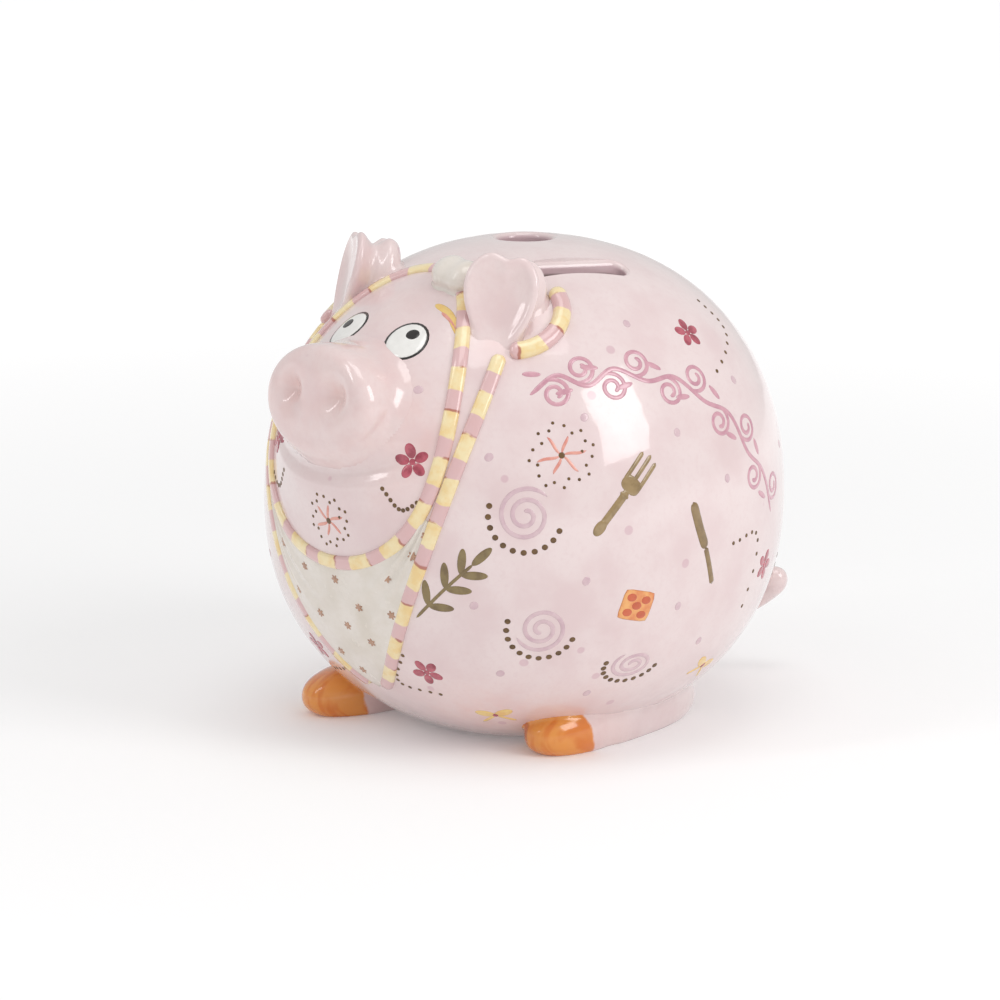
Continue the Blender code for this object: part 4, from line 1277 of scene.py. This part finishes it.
# %% Stopper
FLANGE_RADIUS, FLANGE_LOW, FLANGE_HIGH, STEM_TOP = 13.6, 0.9, 2.9, 10.9
STOPPER_PROFILE = ((0.0, STEM_TOP - 1.5), (6.8, STEM_TOP - 1.5), (7.6, STEM_TOP - 0.3), (8.3, STEM_TOP),
                   (9.2, STEM_TOP - 0.4), (9.9, STEM_TOP - 1.5), (9.75, 7.2), (9.9, 6.0), (9.75, 4.8),
                   (9.9, FLANGE_HIGH + 0.3), (10.2, FLANGE_HIGH), (FLANGE_RADIUS - 0.3, FLANGE_HIGH - 0.05),
                   (FLANGE_RADIUS, FLANGE_HIGH - 0.5), (FLANGE_RADIUS, FLANGE_LOW + 0.5),
                   (FLANGE_RADIUS - 0.4, FLANGE_LOW), (10.6, FLANGE_LOW), (10.2, FLANGE_LOW + 0.35),
                   (9.8, FLANGE_LOW), (5.4, FLANGE_LOW), (4.4, FLANGE_LOW + 0.7), (0.0, FLANGE_LOW + 0.9))


def stopper_grid():
    """Each profile point is a level ring, with points between them so that the edges stay round."""
    profile = np.asarray(STOPPER_PROFILE)
    turn = np.linspace(0.0, 2.0 * np.pi, 96, endpoint=False)
    share = np.linspace(0.0, len(profile) - 1.0, 3 * (len(profile) - 1) + 1)
    radius = np.interp(share, np.arange(len(profile)), profile[:, 0])
    height = np.interp(share, np.arange(len(profile)), profile[:, 1])
    return np.stack([ring(r, h - MIDDLE[2], turn) for r, h in zip(radius, height)])


def rubber_finish():
    """Off-white rubber: matt, mottled, with fine moulded grain."""
    material, tree, shader = new_material("rubber_finish")
    tone = wash(tree, (0.62, 0.60, 0.55), (0.52, 0.50, 0.45), reshape(tree, noise(tree, 4.0), 0.35, 0.7))
    tree.links.new(tone, shader.inputs["Base Color"])
    tree.links.new(reshape(tree, noise(tree, 2.0), 0.3, 0.7, 0.55, 0.72), shader.inputs["Roughness"])
    bump(tree, shader, noise(tree, 0.5), 0.4, 0.06 * MM, "Normal")
    return material


stopper = closed_surface("stopper_plug", [stopper_grid()])
stopper.data.set_sharp_from_angle(angle=math.radians(35.0))
settle(stopper, "stopper", "rubber", rubber_finish(), "base_stopper")

# %% [markdown]
# ## The floor
# A plain pale sheet. Its glow is painted light: it glows more the farther it is from the pig, so the
# floor round the pig is darker, which is painted shade.

# %% Floor
FLOOR_HALF = 8.0
NEAR, FAR, NEAR_PAINTED_GLOW, FAR_PAINTED_GLOW = 0.12, 1.0, 0.10, 0.42
corners = [(x * FLOOR_HALF, y * FLOOR_HALF, 0.0) for x, y in ((-1, -1), (1, -1), (1, 1), (-1, 1))]
floor_mesh = bpy.data.meshes.new("floor")
floor_mesh.from_pydata(corners, [], [(0, 1, 2, 3)])
floor = bpy.data.objects.new("floor", floor_mesh)
bpy.context.scene.collection.objects.link(floor)
paper, paper_tree, paper_shader = new_material("white_paper")
paper_tone = wash(paper_tree, (0.93, 0.93, 0.93), (0.91, 0.91, 0.915), noise(paper_tree, 300.0))
paper_shader.inputs["Roughness"].default_value = 0.9
# The emission is painted light: weak near the pig, as painted shade, and stronger far off.
far = at_object(paper_tree, add_node(paper_tree, "ShaderNodeVectorMath", operation="LENGTH"), 0)
painted_glow = reshape(paper_tree, far.outputs["Value"], NEAR, FAR, NEAR_PAINTED_GLOW, FAR_PAINTED_GLOW)
for socket in ("Base Color", "Emission Color"):
    paper_tree.links.new(paper_tone, paper_shader.inputs[socket])
paper_tree.links.new(painted_glow, paper_shader.inputs["Emission Strength"])
floor_mesh.materials.append(paper)
